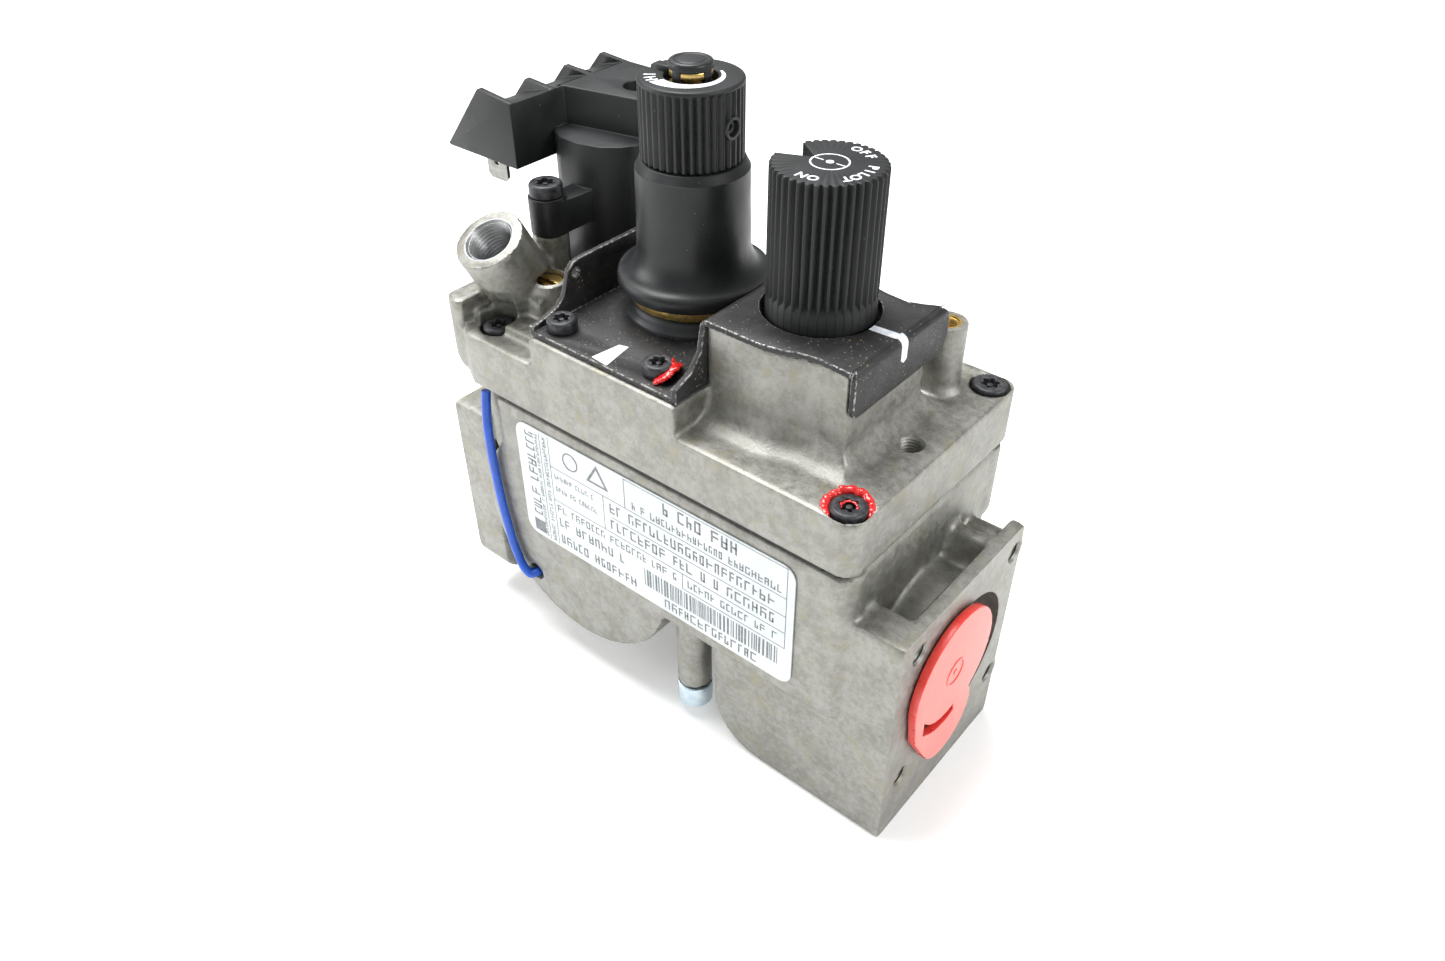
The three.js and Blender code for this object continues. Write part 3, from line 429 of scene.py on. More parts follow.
class Finish:
    """A material in the making: a Principled shader and the patterns that feed it."""

    def __init__(self, name, **sockets):
        self.material = bpy.data.materials.new(name)
        self.material.use_nodes = True
        self.tree = self.material.node_tree
        self.shader = self.tree.nodes["Principled BSDF"]
        for socket, value in sockets.items():
            self.set(socket.replace("_", " "), value)

    def set(self, socket, value):
        """Feeds one of the shader's sockets with a constant or a pattern."""
        target = self.shader.inputs[socket]
        if isinstance(value, Value):
            self.tree.links.new(value.socket, target)
        else:
            target.default_value = (*value, 1) if isinstance(value, tuple) else value

    def node(self, kind, settings=None, inputs=None, output=0):
        """Any node: its settings first, then the values or links of its sockets."""
        made = self.tree.nodes.new(kind)
        for name, value in (settings or {}).items():
            setattr(made, name, value)
        for key, value in (inputs or {}).items():
            if isinstance(value, Value):
                self.tree.links.new(value.socket, made.inputs[key])
            elif isinstance(value, tuple) and made.inputs[key].type == "RGBA":
                made.inputs[key].default_value = (*value, 1)
            else:
                made.inputs[key].default_value = value
        return Value(self, made.outputs[output])

    def place(self):
        """Where on the object a point is."""
        return self.node("ShaderNodeTexCoord", output="Object")

    def stretched(self, scale):
        """The place, scaled differently along each axis."""
        return self.node("ShaderNodeMapping", {}, {"Vector": self.place(), "Scale": scale})

    def noise(self, size, detail=3.0, roughness=0.5, vector=None):
        """Cloudy noise with blotches of this size in millimetres, from 0 to 1."""
        return self.node("ShaderNodeTexNoise", {}, {
            "Vector": vector or self.place(), "Scale": 1 / (size * MM),
            "Detail": detail, "Roughness": roughness})

    def specks(self, size):
        """The distance to the nearest of many scattered points, 0 at each."""
        return self.node("ShaderNodeTexVoronoi", {}, {
            "Vector": self.place(), "Scale": 1 / (size * MM), "Randomness": 1.0})

    def ease(self, value, low, high, to_low=0.0, to_high=1.0):
        """Spreads the stretch from low to high over to_low to to_high."""
        return self.node("ShaderNodeMapRange", {"interpolation_type": "SMOOTHSTEP"}, {
            "Value": value, "From Min": low, "From Max": high,
            "To Min": to_low, "To Max": to_high})

    def blend(self, mask, a, b):
        """Colour a where the mask is 0 and b where it is 1."""
        return self.node("ShaderNodeMix", {"data_type": "RGBA"}, {0: mask, 6: a, 7: b}, output=2)

    def bump(self, height, distance, strength=1.0):
        """Raises the surface by the height pattern, over a distance in millimetres."""
        made = self.node("ShaderNodeBump", {}, {
            "Height": height, "Distance": distance * MM, "Strength": strength})
        self.set("Normal", made)


print("material workshop ready")

# %% [markdown]
# ## Die-cast aluminium
# A raw die casting isn't one grey. The melt leaves cloudy flow marks, the mould's release
# agent leaves yellowish stains, and the skin is finely pitted. So the colour mixes three
# sizes of cloud, the roughness follows them, and a fine bump breaks up the highlights.

# %% Castings, machined faces and other metals
def cast_aluminium():
    f = Finish("die_cast_aluminium", Metallic=0.82)
    clouds = f.noise(6, 5, 0.62)
    flow = f.noise(1.5, 5, 0.65)
    grain = f.noise(0.35, 3, 0.6)
    stain = f.ease(f.noise(5, 4, 0.65), 0.52, 0.72)
    dark = f.ease(f.noise(1.1, 3, 0.5), 0.6, 0.78)
    tone = f.ease(clouds * 0.5 + flow * 0.5, 0.34, 0.66)
    metal = f.blend(tone, (0.20, 0.198, 0.176), (0.33, 0.328, 0.305))
    stained = f.blend(stain * 0.6, metal, (0.27, 0.25, 0.165))
    spotted = f.blend(dark * 0.4, stained, (0.13, 0.127, 0.12))
    speckled = f.blend(f.ease(grain, 0.35, 0.75) * 0.22, spotted, (0.42, 0.41, 0.39))
    f.set("Base Color", speckled)
    f.set("Roughness", f.ease(flow * 0.6 + grain * 0.4, 0.3, 0.7, 0.40, 0.60))
    f.bump(f.noise(0.7, 4, 0.6) * 0.6 + grain * 0.4, 0.16, 0.5)
    return f.material


def machined(name, colour, roughness, lines=0.35):
    """Bright turned metal with fine tool marks across its axis."""
    f = Finish(name, Metallic=1.0)
    marks = f.noise(lines, 2, 0.5, f.stretched((0.12, 0.12, 1)))
    haze = f.noise(3, 3, 0.5)
    shadow = tuple(0.72 * c for c in colour)
    f.set("Base Color", f.blend(f.ease(haze, 0.35, 0.75), colour, shadow))
    f.set("Roughness", f.ease(marks, 0.3, 0.7, roughness - 0.07, roughness + 0.1))
    f.bump(marks, 0.005, 0.2)
    return f.material


CAST = cast_aluminium()
BRASS = machined("turned_brass", (0.80, 0.56, 0.19), 0.3)
STEEL = machined("bright_steel", (0.50, 0.50, 0.49), 0.32)
TIN = machined("dull_tin", (0.30, 0.30, 0.285), 0.42)
THREAD = machined("tapped_aluminium", (0.40, 0.405, 0.41), 0.36)
COPPER = machined("enamelled_copper", (0.62, 0.27, 0.12), 0.32)
print("cast and bright metals:", [m.name for m in (CAST, BRASS, STEEL, TIN, THREAD, COPPER)])

# %% [markdown]
# ## Zinc plate and blackened steel
# The plug has a pale blue passivated plating. The screws are phosphated: nearly black,
# a little rough, and rubbed brighter where a driver or a hand has touched them.

# %% Plated and blackened steel
def zinc_plate():
    f = Finish("blue_zinc_plate", Metallic=0.85)
    cloud = f.noise(2.5, 4, 0.6)
    f.set("Base Color", f.blend(f.ease(cloud, 0.35, 0.7), (0.50, 0.62, 0.70), (0.66, 0.74, 0.78)))
    f.set("Roughness", f.ease(cloud, 0.3, 0.7, 0.26, 0.4))
    f.bump(f.noise(0.3, 2, 0.5), 0.02, 0.4)
    return f.material


def blackened_steel():
    f = Finish("blackened_steel", Metallic=0.55)
    cloud = f.noise(1.2, 4, 0.6)
    f.set("Base Color", f.blend(f.ease(cloud, 0.4, 0.75), (0.035, 0.036, 0.04), (0.085, 0.085, 0.09)))
    f.set("Roughness", f.ease(cloud, 0.3, 0.7, 0.38, 0.55))
    f.bump(f.noise(0.18, 3, 0.6), 0.03, 0.5)
    return f.material


ZINC = zinc_plate()
BLACK_STEEL = blackened_steel()
print("plated and blackened steel:", ZINC.name, BLACK_STEEL.name)

# %% [markdown]
# ## Black plastic and painted steel
# Both are nearly black, so what tells them apart is texture and dust. The moulded plastic
# is satin with a fine spark-eroded grain. The bracket's paint is grainier, carries pale and
# gold specks of dust, and is worn through to bright metal along its cut edges.

# %% Black plastic, paint and worn edges
def black_plastic(name="moulded_black_plastic", tone=1.0, roughness=0.46):
    f = Finish(name, Specular_IOR_Level=0.37)
    cloud = f.noise(6, 3, 0.5)
    dust = 1 - f.ease(f.specks(2.6), 0.02, 0.06)
    dust_here = dust * f.ease(f.noise(7, 2, 0.5), 0.5, 0.6)
    # tone scales the black; the ring's large step of 3.8 is a painted highlight.
    dark = tuple(tone * c for c in (0.009, 0.010, 0.0105))
    light = tuple(tone * c for c in (0.014, 0.015, 0.016))
    body = f.blend(f.ease(cloud, 0.35, 0.7), dark, light)
    f.set("Base Color", f.blend(dust_here * 0.5, body, (0.4, 0.36, 0.28)))
    f.set("Roughness", f.ease(cloud, 0.3, 0.7, roughness - 0.05, roughness + 0.07))
    f.bump(f.noise(0.22, 2, 0.5), 0.03, 0.35)
    return f.material


def black_paint(worn=False):
    f = Finish("worn_paint_edge" if worn else "black_bracket_paint", Specular_IOR_Level=0.45)
    grain = f.noise(0.3, 3, 0.6)
    pale = 1 - f.ease(f.specks(0.9), 0.08, 0.2)
    gold = 1 - f.ease(f.specks(1.7), 0.06, 0.14)
    patch = f.ease(f.noise(6, 3, 0.6), 0.42, 0.62)
    paint = f.blend(f.ease(f.noise(4, 4, 0.6), 0.35, 0.7), (0.010, 0.010, 0.011), (0.024, 0.023, 0.023))
    dusty = f.blend(pale * patch * 0.7, paint, (0.34, 0.33, 0.31))
    f.set("Base Color", f.blend(gold * patch * 0.7, dusty, (0.42, 0.30, 0.12)))
    f.set("Roughness", f.ease(grain, 0.3, 0.7, 0.42, 0.62))
    if worn:
        rubbed = f.ease(f.noise(0.8, 4, 0.7), 0.44, 0.60)
        f.set("Base Color", f.blend(rubbed, (0.03, 0.03, 0.03), (0.36, 0.355, 0.34)))
        f.set("Metallic", rubbed * 0.8)
    f.bump(grain, 0.05, 0.5)
    return f.material


PLASTIC = black_plastic()
# Painted highlight: the moulded black made 3.8 times lighter, for the soft highlight on the embossed
# ring.
LIT_RING_PLASTIC = black_plastic("embossed_ring_painted_highlight", 3.8, 0.40)
SATIN_PLASTIC = black_plastic("satin_sleeve_plastic", 1.15, 0.40)
PAINT = black_paint()
WORN = black_paint(worn=True)
print("blacks:", [m.name for m in (PLASTIC, LIT_RING_PLASTIC, SATIN_PLASTIC, PAINT, WORN)])

# %% [markdown]
# ## Small finishes
# Rubber, label film, print, cap and wire. Each gets at least two patterns, one in its
# colour and one in its gloss, because a perfectly even surface looks like a toy.

# %% Small finishes
def simple_finish(name, dark, light, size, roughness, bump=0.02, **sockets):
    """A finish of two close colours in clouds, with a fine bump."""
    f = Finish(name, **sockets)
    cloud = f.noise(size, 4, 0.6)
    f.set("Base Color", f.blend(f.ease(cloud, 0.35, 0.68), dark, light))
    f.set("Roughness", f.ease(cloud, 0.3, 0.7, roughness - 0.05, roughness + 0.08))
    f.bump(f.noise(0.3, 3, 0.5), bump, 0.4)
    return f.material


RUBBER = simple_finish("nitrile_rubber", (0.012, 0.012, 0.012), (0.03, 0.03, 0.03), 1.5, 0.7)
FILM = simple_finish("white_label_film", (0.60, 0.645, 0.665), (0.68, 0.72, 0.735), 12, 0.36, 0.01)
INK = simple_finish("grey_print", (0.12, 0.13, 0.14), (0.22, 0.23, 0.24), 0.6, 0.5, 0.005)
WHITE_PAINT = simple_finish("white_paint", (0.66, 0.70, 0.76), (0.86, 0.88, 0.91), 1.2, 0.5)
RED = simple_finish("red_cap_plastic", (0.80, 0.045, 0.035), (0.87, 0.075, 0.06), 5, 0.30, 0.02,
                    Coat_Weight=0.15)
LACQUER = simple_finish("red_sealing_lacquer", (0.50, 0.008, 0.008), (0.72, 0.02, 0.018), 0.8, 0.16,
                        0.03, Coat_Weight=0.6)
# Painted highlight: a paler, pinkish red that paints the glare on the cap's end faces.
PAINTED_GLARE_RED = simple_finish("painted_glare_red_face", (0.70, 0.19, 0.165), (0.76, 0.24, 0.21), 5, 0.42, 0.02)
BLUE = simple_finish("blue_insulation", (0.008, 0.070, 0.45), (0.014, 0.10, 0.56), 3, 0.34)
print("small finishes ready")

# %% [markdown]
# ## Lower casting
# The CAD solid has the right shape but knife edges. A foundry part is the other way round:
# everything is rounded except where a cutter has been. So the bores are plugged first, the
# solid is remeshed and smoothed like a raw casting, and then the flange faces and bores
# are cut into it, as a machine shop would.

# %% A cutter for tapped holes
THREAD_DEPTH = 0.13  # of the hole's radius


def tapped_cutter(name, start, direction, r, depth, pitch, sides=20):
    """A cutter that leaves thread-like grooves: a stack of short double cones."""
    direction = Vector(direction).normalized()
    start = Vector(start) - direction
    crest = r * (1 + THREAD_DEPTH)
    rings = []
    for i in range(int((depth + 1) / pitch)):
        a = start + direction * pitch * i
        middle = a + direction * pitch / 2
        b = a + direction * pitch * 1.001
        rings.append(rod(f"{name}_{i}", a, middle, r, crest, sides))
        rings.append(rod(f"{name}_{i}_back", middle, b, crest, r, sides))
    joined = together(name, *rings)
    with editing(joined):
        bpy.ops.mesh.remove_doubles(threshold=WELD)
    discs = [p for p in joined.data.polygons if len(p.vertices) == sides]
    discs.sort(key=lambda p: (p.center - at(*start)).length)
    ends = {discs[0].index, discs[-1].index}
    select_faces(joined, lambda p: len(p.vertices) == sides and p.index not in ends)
    with editing(joined, None):
        bpy.ops.mesh.delete(type="ONLY_FACE")
    return outward(joined)


def select_faces(piece, test):
    """Selects the faces for which the test holds, ready for edit mode."""
    scene.tool_settings.mesh_select_mode = (False, False, True)
    mesh = piece.data
    for items in (mesh.vertices, mesh.edges, mesh.polygons):
        items.foreach_set("select", [False] * len(items))
    for face in mesh.polygons:
        face.select = bool(test(face))


print("thread cutter: grooves", THREAD_DEPTH, "of the hole's radius deep")

# %% [markdown]
# A flange is cast a little proud and is then faced off. Metal is added on both faces and in
# the bores before the remesh, a bisect takes the face off flat, and the recess, the pipe
# bore and the four tapped holes are cut last, so only they keep sharp edges.

# %% Flange stock and machining
BORE = (26.9, 32.35)  # y and z of the pipe line
RECESS_R, RECESS_DEPTH, PIPE_R, PIPE_DEPTH = 16.35, 5.5, 10.7, 20
BOLT_PITCH, BOLT_R, BOLT_DEPTH, THREAD_PITCH = 36.0, 2.15, 8.5, 0.8
FLANGE_Y = (2.2, 47.5)
INLET_Z, INLET_RADII = (0, 56.2), (1, 1, 1, 1)
OUTLET_Z, OUTLET_RADII = (8, 56.6), (6, 6, 1, 1)
STOCK = 2.5  # left on a face for the machine shop


def bolt_centres():
    """The four tapped holes of a flange, as y and z."""
    half = BOLT_PITCH / 2
    return [(BORE[0] + dy, BORE[1] + dz) for dy in (-half, half) for dz in (-half, half)]


def flange_stock(name, face, out):
    """Metal left on a flange for the machine shop: it stands proud and fills the bores."""
    proud = face + STOCK * out
    z, radii = (INLET_Z, INLET_RADII) if out > 0 else (OUTLET_Z, OUTLET_RADII)
    outline = rounded(FLANGE_Y, z, radii)
    plate = prism(f"{name}_plate", [(face - out, y, z) for y, z in outline], ((STOCK + 1) * out, 0, 0))
    plug = rod(f"{name}_plug", (face - 7 * out, *BORE), (proud, *BORE), RECESS_R + 1)
    fillers = [rod(f"{name}_fill", (face - 10 * out, y, z), (proud, y, z), 3.4, sides=16)
               for y, z in bolt_centres()]
    return [plate, plug, *fillers]


def machine_flange(piece, face, out):
    """Faces a flange off flat and cuts its recess, pipe bore and tapped holes."""
    with editing(piece):
        bpy.ops.mesh.bisect(plane_co=at(face, 0, 0), plane_no=(out, 0, 0), use_fill=True,
                            clear_outer=True)
    recess = rod("recess", (face + out, *BORE), (face - RECESS_DEPTH * out, *BORE), RECESS_R, sides=96)
    pipe = rod("pipe", (face + out, *BORE), (face - PIPE_DEPTH * out, *BORE), PIPE_R, sides=72)
    boolean(piece, recess)
    boolean(piece, pipe)
    for y, z in bolt_centres():
        tap = tapped_cutter("tap", (face, y, z), (-out, 0, 0), BOLT_R, BOLT_DEPTH, THREAD_PITCH)
        boolean(piece, tap)
        boolean(piece, rod("lead_in", (face + 0.3 * out, y, z), (face - 0.45 * out, y, z),
                           BOLT_R + 0.75, BOLT_R, 24))


print("flanges:", BOLT_PITCH, "mm square of tapped holes, holes at", bolt_centres())

# %% [markdown]
# The remesh turns the joined solids into one skin of small cells, and a smooth modifier
# then melts the edges between them. Smaller cells keep more detail but soon pass 200,000
# triangles, so the size is the largest that still keeps the small ribs.

# %% Lower casting
INLET_FACE, OUTLET_FACE = 0.0, -121.6
LOWER_VOXEL = 0.72


def lower_casting():
    """The body: inlet block, belly, label boss, outlet flange and their bores."""
    rough = cad_copy("lower_body", "lower_casting")
    stock = flange_stock("inlet", INLET_FACE, 1) + flange_stock("outlet", OUTLET_FACE, -1)
    boss = prism("boss_step", [(-17.6, 0.9, 31), (-14.4, 0.9, 33), (-14.4, 0.9, 62), (-17.6, 0.9, 64)],
                 (0, 6, 0))
    casting = together("lower_casting", rough, *stock, boss)
    cast(casting, LOWER_VOXEL, 3)
    machine_flange(casting, INLET_FACE, 1)
    machine_flange(casting, OUTLET_FACE, -1)
    finish(casting, "valve_body", "cast_aluminium", CAST, "lower_body")


lower_casting()

# %% [markdown]
# ## Upper casting
# The cover carries everything that is turned or adjusted. Its tower stands on a wide
# hollow fillet, which is built as a stack of thin skirts that shrink upwards along a
# quarter circle. The remesh melts the stack into one smooth curve.

# %% The tower and its fillet
COVER_TOP = 80.25
FILLET_R = 4.6
FILLET_STEPS = 9


def tower_outline(grow=0.0):
    """The tower in plan: its front and back step back in a shallow S."""
    left, right = -51.1 - grow, -22 + grow
    front, back = 9.7 - grow, 39.2 + grow
    step, back_step = 2.4, 1.3
    outline = [(left, front)]
    for t in (0, 0.2, 0.4, 0.6, 0.8, 1):
        outline.append((-39 + 11 * t, front + step * (3 * t * t - 2 * t ** 3)))
    outline += [(right, front + step - 0.2), (right, back - back_step)]
    for t in (0, 0.25, 0.5, 0.75, 1):
        outline.append((-28 - 11 * t, back - back_step * (1 - 3 * t * t + 2 * t ** 3)))
    return outline + [(left, back)]


def tower_fillet():
    """Skirts that follow a quarter circle up the foot of the tower."""
    skirts = []
    for i in range(FILLET_STEPS):
        quarter = math.pi / 2 / FILLET_STEPS
        grow = FILLET_R * (1 - math.cos(quarter * (FILLET_STEPS - i)))
        top = COVER_TOP + FILLET_R * (1 - math.sin(quarter * (FILLET_STEPS - i - 1))) * 0.9
        skirts.append(slab(f"skirt_{i}", tower_outline(grow), (COVER_TOP - 2, top)))
    return skirts


print("tower outline:", len(tower_outline()), "corners,", FILLET_STEPS, "skirts")

# %% [markdown]
# Posts and outlets are cast solid and drilled afterwards. So their bores are filled before
# the remesh and cut again after it, and the posts get machined flats on top. Each cutter
# stands a little outside the metal, because faces that coincide upset a boolean.

# %% Upper casting
PILOT = Vector((-108, 8, 99.4))
PILOT_TILT = math.radians(28)
PILOT_AXIS = Vector((0, -math.sin(PILOT_TILT), math.cos(PILOT_TILT)))
PILOT_SCREW = spot("pilot_adjusting_screw")
PILOT_SCREW_TOP = 89.6
POST, POST_TOP = (-23, 46.8), 94.6
LUG, LUG_TOP = (-108, 24.6), 95.1
TAP = (-16.7, 26.5)
UPPER_VOXEL = 0.54


def pilot_point(depth):
    """A point on the tilted line of the pilot outlet, depth below its rim."""
    return PILOT - PILOT_AXIS * depth


def upper_casting():
    """The cover with its tiers, tower, posts and pilot outlet."""
    rough = cad_copy("upper_cover", "upper_casting")
    fillers = [
        rod("fill_post", (*POST, 86), (*POST, 95), 3.4),
        rod("fill_lug", (*LUG, 85), (*LUG, 95.2), 3),
        rod("fill_pilot", pilot_point(14), pilot_point(0), 6),
        rod("fill_pilot_screw", (*PILOT_SCREW, 78), (*PILOT_SCREW, PILOT_SCREW_TOP), 4),
        rod("fill_tap", (*TAP, 73), (*TAP, COVER_TOP), 3),
    ]
    web = prism("web", [(-112.6, 12, 82), (-103.4, 12, 82), (-104.5, 12, 90.5), (-111.5, 12, 90.5)],
                (0, 11, 0))
    casting = together("upper_casting", rough, *tower_fillet(), *fillers, web)
    cast(casting, UPPER_VOXEL, 4)
    machine_cover(casting)
    finish(casting, "valve_body", "cast_aluminium", CAST, "upper_cover")


def machine_cover(piece):
    """Flats on the posts and rim, and the bores that are cut after casting."""
    pilot_face = block("pilot_face", (-9, -9, 0), (9, 9, 3))
    lean = Matrix.Rotation(PILOT_TILT, 4, "X")
    pilot_face.data.transform(Matrix.Translation(-CORNER))
    pilot_face.data.transform(Matrix.Translation(at(*pilot_point(0.12))) @ lean)
    boolean(piece, pilot_face)
    for tool in (
        rod("pilot_bore", pilot_point(-1), pilot_point(13), 5.6, sides=64),
        rod("pilot_screw_bore", (*PILOT_SCREW, 80), (*PILOT_SCREW, 91), 3.65, sides=48),
        rod("post_face", (*POST, POST_TOP), (*POST, 97), 6),
        rod("post_bore", (*POST, 87), (*POST, 97), 2.75),
        rod("lug_face", (*LUG, LUG_TOP), (*LUG, 97), 6),
        rod("lug_bore", (*LUG, 86), (*LUG, 97), 1.9, sides=24),
        rod("tap_lead_in", (*TAP, COVER_TOP + 0.2), (*TAP, COVER_TOP - 0.6), 2.9, 2.1, 32),
        tapped_cutter("tap_bore", (*TAP, COVER_TOP), (0, 0, -1), 2.05, 5.5, 0.7),
    ):
        boolean(piece, tool)


upper_casting()

# %% [markdown]
# ## Threads
# A pilot tube screws into the tilted outlet. Its thread is a turned liner whose inner wall
# zigzags; at this pitch, rings read as a thread from every side, and they stay closed
# without a seam.

# %% Threaded liners
def threaded_liner(name, r, wall, pitch, depth, rim=0.0):
    """A sleeve with a zigzag inner wall, its mouth at z = 0 and its length downwards."""
    turns = int(depth / pitch)
    profile = [(r + wall, -depth), (r + wall, 0)]
    if rim:
        profile += [(r + rim, 0), (r + 0.1, -rim)]
    for i in range(turns):
        z = -max(rim, 0.1) - i * pitch
        profile += [(r, z), (r - 0.42 * pitch, z - pitch / 2)]
    profile += [(r, -depth)]
    cx, cy, cz = (-CORNER) / MM
    return lathe(name, [(a, b + cz) for a, b in profile], (cx, cy), 72)


def lean_to(piece, place, tilt):
    """Tilts a piece made at the origin about X and carries it to its place."""
    piece.data.transform(Matrix.Translation(at(*place)) @ Matrix.Rotation(tilt, 4, "X"))


def pilot_thread():
    """The tapped wall of the pilot outlet."""
    liner = threaded_liner("pilot_thread", 4.75, 0.9, 0.85, 11.8, rim=0.5)
    lean_to(liner, pilot_point(0.13), PILOT_TILT)
    finish(liner, "valve_body", "cast_aluminium", THREAD)


def post_thread():
    """The brass insert pressed into the post."""
    liner = threaded_liner("post_insert_thread", 1.95, 0.78, 0.5, 7.4, rim=0.3)
    lean_to(liner, (*POST, POST_TOP - 0.05), 0.0)
    finish(liner, "valve_body", "brass", BRASS, "post_insert")


pilot_thread()
post_thread()

# %% [markdown]
# ## Gasket and bracket
# The gasket is a sheet pinched between the castings, so only its edge shows. The bracket
# is one folded sheet: the CAD copy gets rounded folds first, then every edge is broken,
# and the broken edges get the worn finish that shows bare steel.

# %% Gasket and bracket
BRACKET_TOP = 100.9
FLAP_OUTSIDE = -20.6
RISER_OUTSIDE = -52.4
FOLD_R, FOLD_STEPS = 1.5, 8
GASKET_MIDDLE, GASKET_SWELL = GASKET_Z + 0.4, 1.7


def gasket():
    """The sheet between the castings, its rim a little swollen by the clamping."""
    piece = cad_copy("cover_gasket", "pressed_gasket")
    with editing(piece):
        bpy.ops.transform.resize(value=(1, 1, GASKET_SWELL), center_override=at(0, 0, GASKET_MIDDLE))
    bevel(piece, 0.12, 2)
    finish(piece, "valve_body", "rubber", RUBBER, "cover_gasket")


def round_fold(piece, x, side):
    """Rounds the outside of a fold at the bracket's top; side says where the sheet turns down."""
    cx, cz = x - side * FOLD_R, BRACKET_TOP - FOLD_R
    outline = [(cx, BRACKET_TOP + 1)]
    for i in range(FOLD_STEPS + 1):
        a = math.pi / 2 * i / FOLD_STEPS
        outline.append((cx + side * FOLD_R * math.sin(a), cz + FOLD_R * math.cos(a)))
    outline += [(x + side, cz), (x + side, BRACKET_TOP + 1)]
    boolean(piece, prism("fold", [(a, -1, b) for a, b in outline], (0, 62, 0)))


def folded_bracket():
    """The black sheet-metal bracket round both knobs."""
    piece = cad_copy("mounting_bracket", "folded_bracket")
    round_fold(piece, FLAP_OUTSIDE, 1)
    round_fold(piece, RISER_OUTSIDE, -1)
    piece.data.materials.append(PAINT)
    piece.data.materials.append(WORN)
    bevel(piece, 0.22, 2, 40, material=1)
    finish(piece, "valve_body", "black_steel", None, "mounting_bracket")


gasket()
folded_bracket()

# %% [markdown]
# ## Screws with a pinned six-lobe socket
# All the black screws share one pattern: a pan head, a six-lobe socket and the pin in it
# that keeps an ordinary driver out. One is modelled for each head size and copied.

# %% Socket screws
SCREW_SEAT = 77.7
BRACKET_FLOOR = 88.3
LUG_SCREW_SEAT = 103.5
LOBES, LOBE_STEPS = 6, 36
HEAD_ROUND = 0.75
COVER_SCREW_TURNS = {"near_right": 12, "far_right": 40, "near_left": 25, "far_left": 8, "far_middle": 51}


def socket_screw(name, head_r, head_h, shank_r, length):
    """A screw standing on the origin, the underside of its head at z = 0."""
    cx, cy, cz = (-CORNER) / MM
    profile = [(0, -length), (shank_r * 0.7, -length), (shank_r, -length + 0.6), (shank_r, 0)]
    profile += [(head_r - 0.15, 0), (head_r, 0.15), (head_r, head_h - HEAD_ROUND)]
    profile += arc((head_r - HEAD_ROUND, head_h - HEAD_ROUND), HEAD_ROUND, 15, 90, 5)
    profile += [(0, head_h)]
    screw = lathe(name, [(r, z + cz) for r, z in profile], (cx, cy), 48)
    outer, inner = head_r * 0.56, head_r * 0.40
    lobes = []
    for i in range(LOBE_STEPS):
        angle = 2 * math.pi * i / LOBE_STEPS
        wave = (1 + math.cos(LOBES * angle)) / 2
        r = inner + (outer - inner) * wave
        lobes.append((cx + r * math.cos(angle), cy + r * math.sin(angle)))
    boolean(screw, slab("socket", lobes, (cz + head_h - 1.6, cz + head_h + 1)))
    pin = rod("pin", (cx, cy, cz + head_h - 1.7), (cx, cy, cz + head_h - 0.35), head_r * 0.17, sides=16)
    screw = together(name, screw, pin)
    return bevel(screw, 0.08, 2, 40)


def placed_screw(pattern, node, place, turn):
    """A copy of a screw with its own mesh, turned and set down at its place."""
    piece = bpy.data.objects.new(f"black_{node}", pattern.data.copy())
    scene.collection.objects.link(piece)
    spin = Matrix.Rotation(math.radians(turn), 4, "Z")
    piece.data.transform(Matrix.Translation(at(*place)) @ spin)
    finish(piece, "valve_body", "black_screw", BLACK_STEEL, node)


def add_screws():
    """Five cover screws, two bracket screws and the one through the terminal block's lug."""
    cover = socket_screw("cover_pattern", 3.45, 3.0, 1.6, 16.9)
    small = socket_screw("bracket_pattern", 3.1, 2.5, 1.5, 7.9)
    lug = socket_screw("lug_pattern", 3.6, 2.8, 1.5, 15.9)
    for corner, turn in COVER_SCREW_TURNS.items():
        node = f"cover_screw_{corner}"
        placed_screw(cover, node, (*spot(node), SCREW_SEAT), turn)
    for node, turn in (("bracket_screw_1", 5), ("bracket_screw_2", 33)):
        placed_screw(small, node, (*spot(node), BRACKET_FLOOR), turn)
    placed_screw(lug, "terminal_block_screw", (*LUG, LUG_SCREW_SEAT), 20)
    for pattern in (cover, small, lug):
        bpy.data.objects.remove(pattern)


add_screws()

# %% [markdown]
# ## Fluted knobs
# A knurl is one groove repeated. The groove is a three-sided prism that starts outside the
# knob, slopes in and then runs straight, so its end is a small ramp. One is traced, forty
# are copied round the axis, and a single boolean cuts them all.

# %% Grooves round a knob
FLUTES = 40
OUTSIDE = 0.35  # how far a cutter stands off the surface that it cuts


def ring_of(piece, count, centre):
    """Copies a piece round an upright line and joins the copies."""
    place = Matrix.Translation(at(*centre, 0))
    copies = [piece]
    for i in range(1, count):
        copy = piece.copy()
        copy.data = piece.data.copy()
        scene.collection.objects.link(copy)
        turn = Matrix.Rotation(2 * math.pi * i / count, 4, "Z")
        copy.data.transform(place @ turn @ place.inverted())
        copies.append(copy)
    return together(piece.name, *copies)


def groove(centre, r, depth, half_width, z, ramp, length):
    """A V-shaped cutter at angle 0 whose end is a ramp: deepest at z + ramp, then straight."""
    rise = ramp * OUTSIDE / depth
    outline = [(centre[0] + r - depth, centre[1], z + ramp),
               (centre[0] + r + OUTSIDE, centre[1] - half_width, z - rise),
               (centre[0] + r + OUTSIDE, centre[1] + half_width, z - rise)]
    return prism("groove", outline, (0, 0, length))


print("groove cutter ready for", FLUTES, "flutes")

# %% [markdown]
# A knob is a turned blank, fluted, then notched or slotted, and only then bevelled, so that
# every edge is broken alike. The blanks have 160 sides, four for each flute, so a groove
# always meets the same facets.

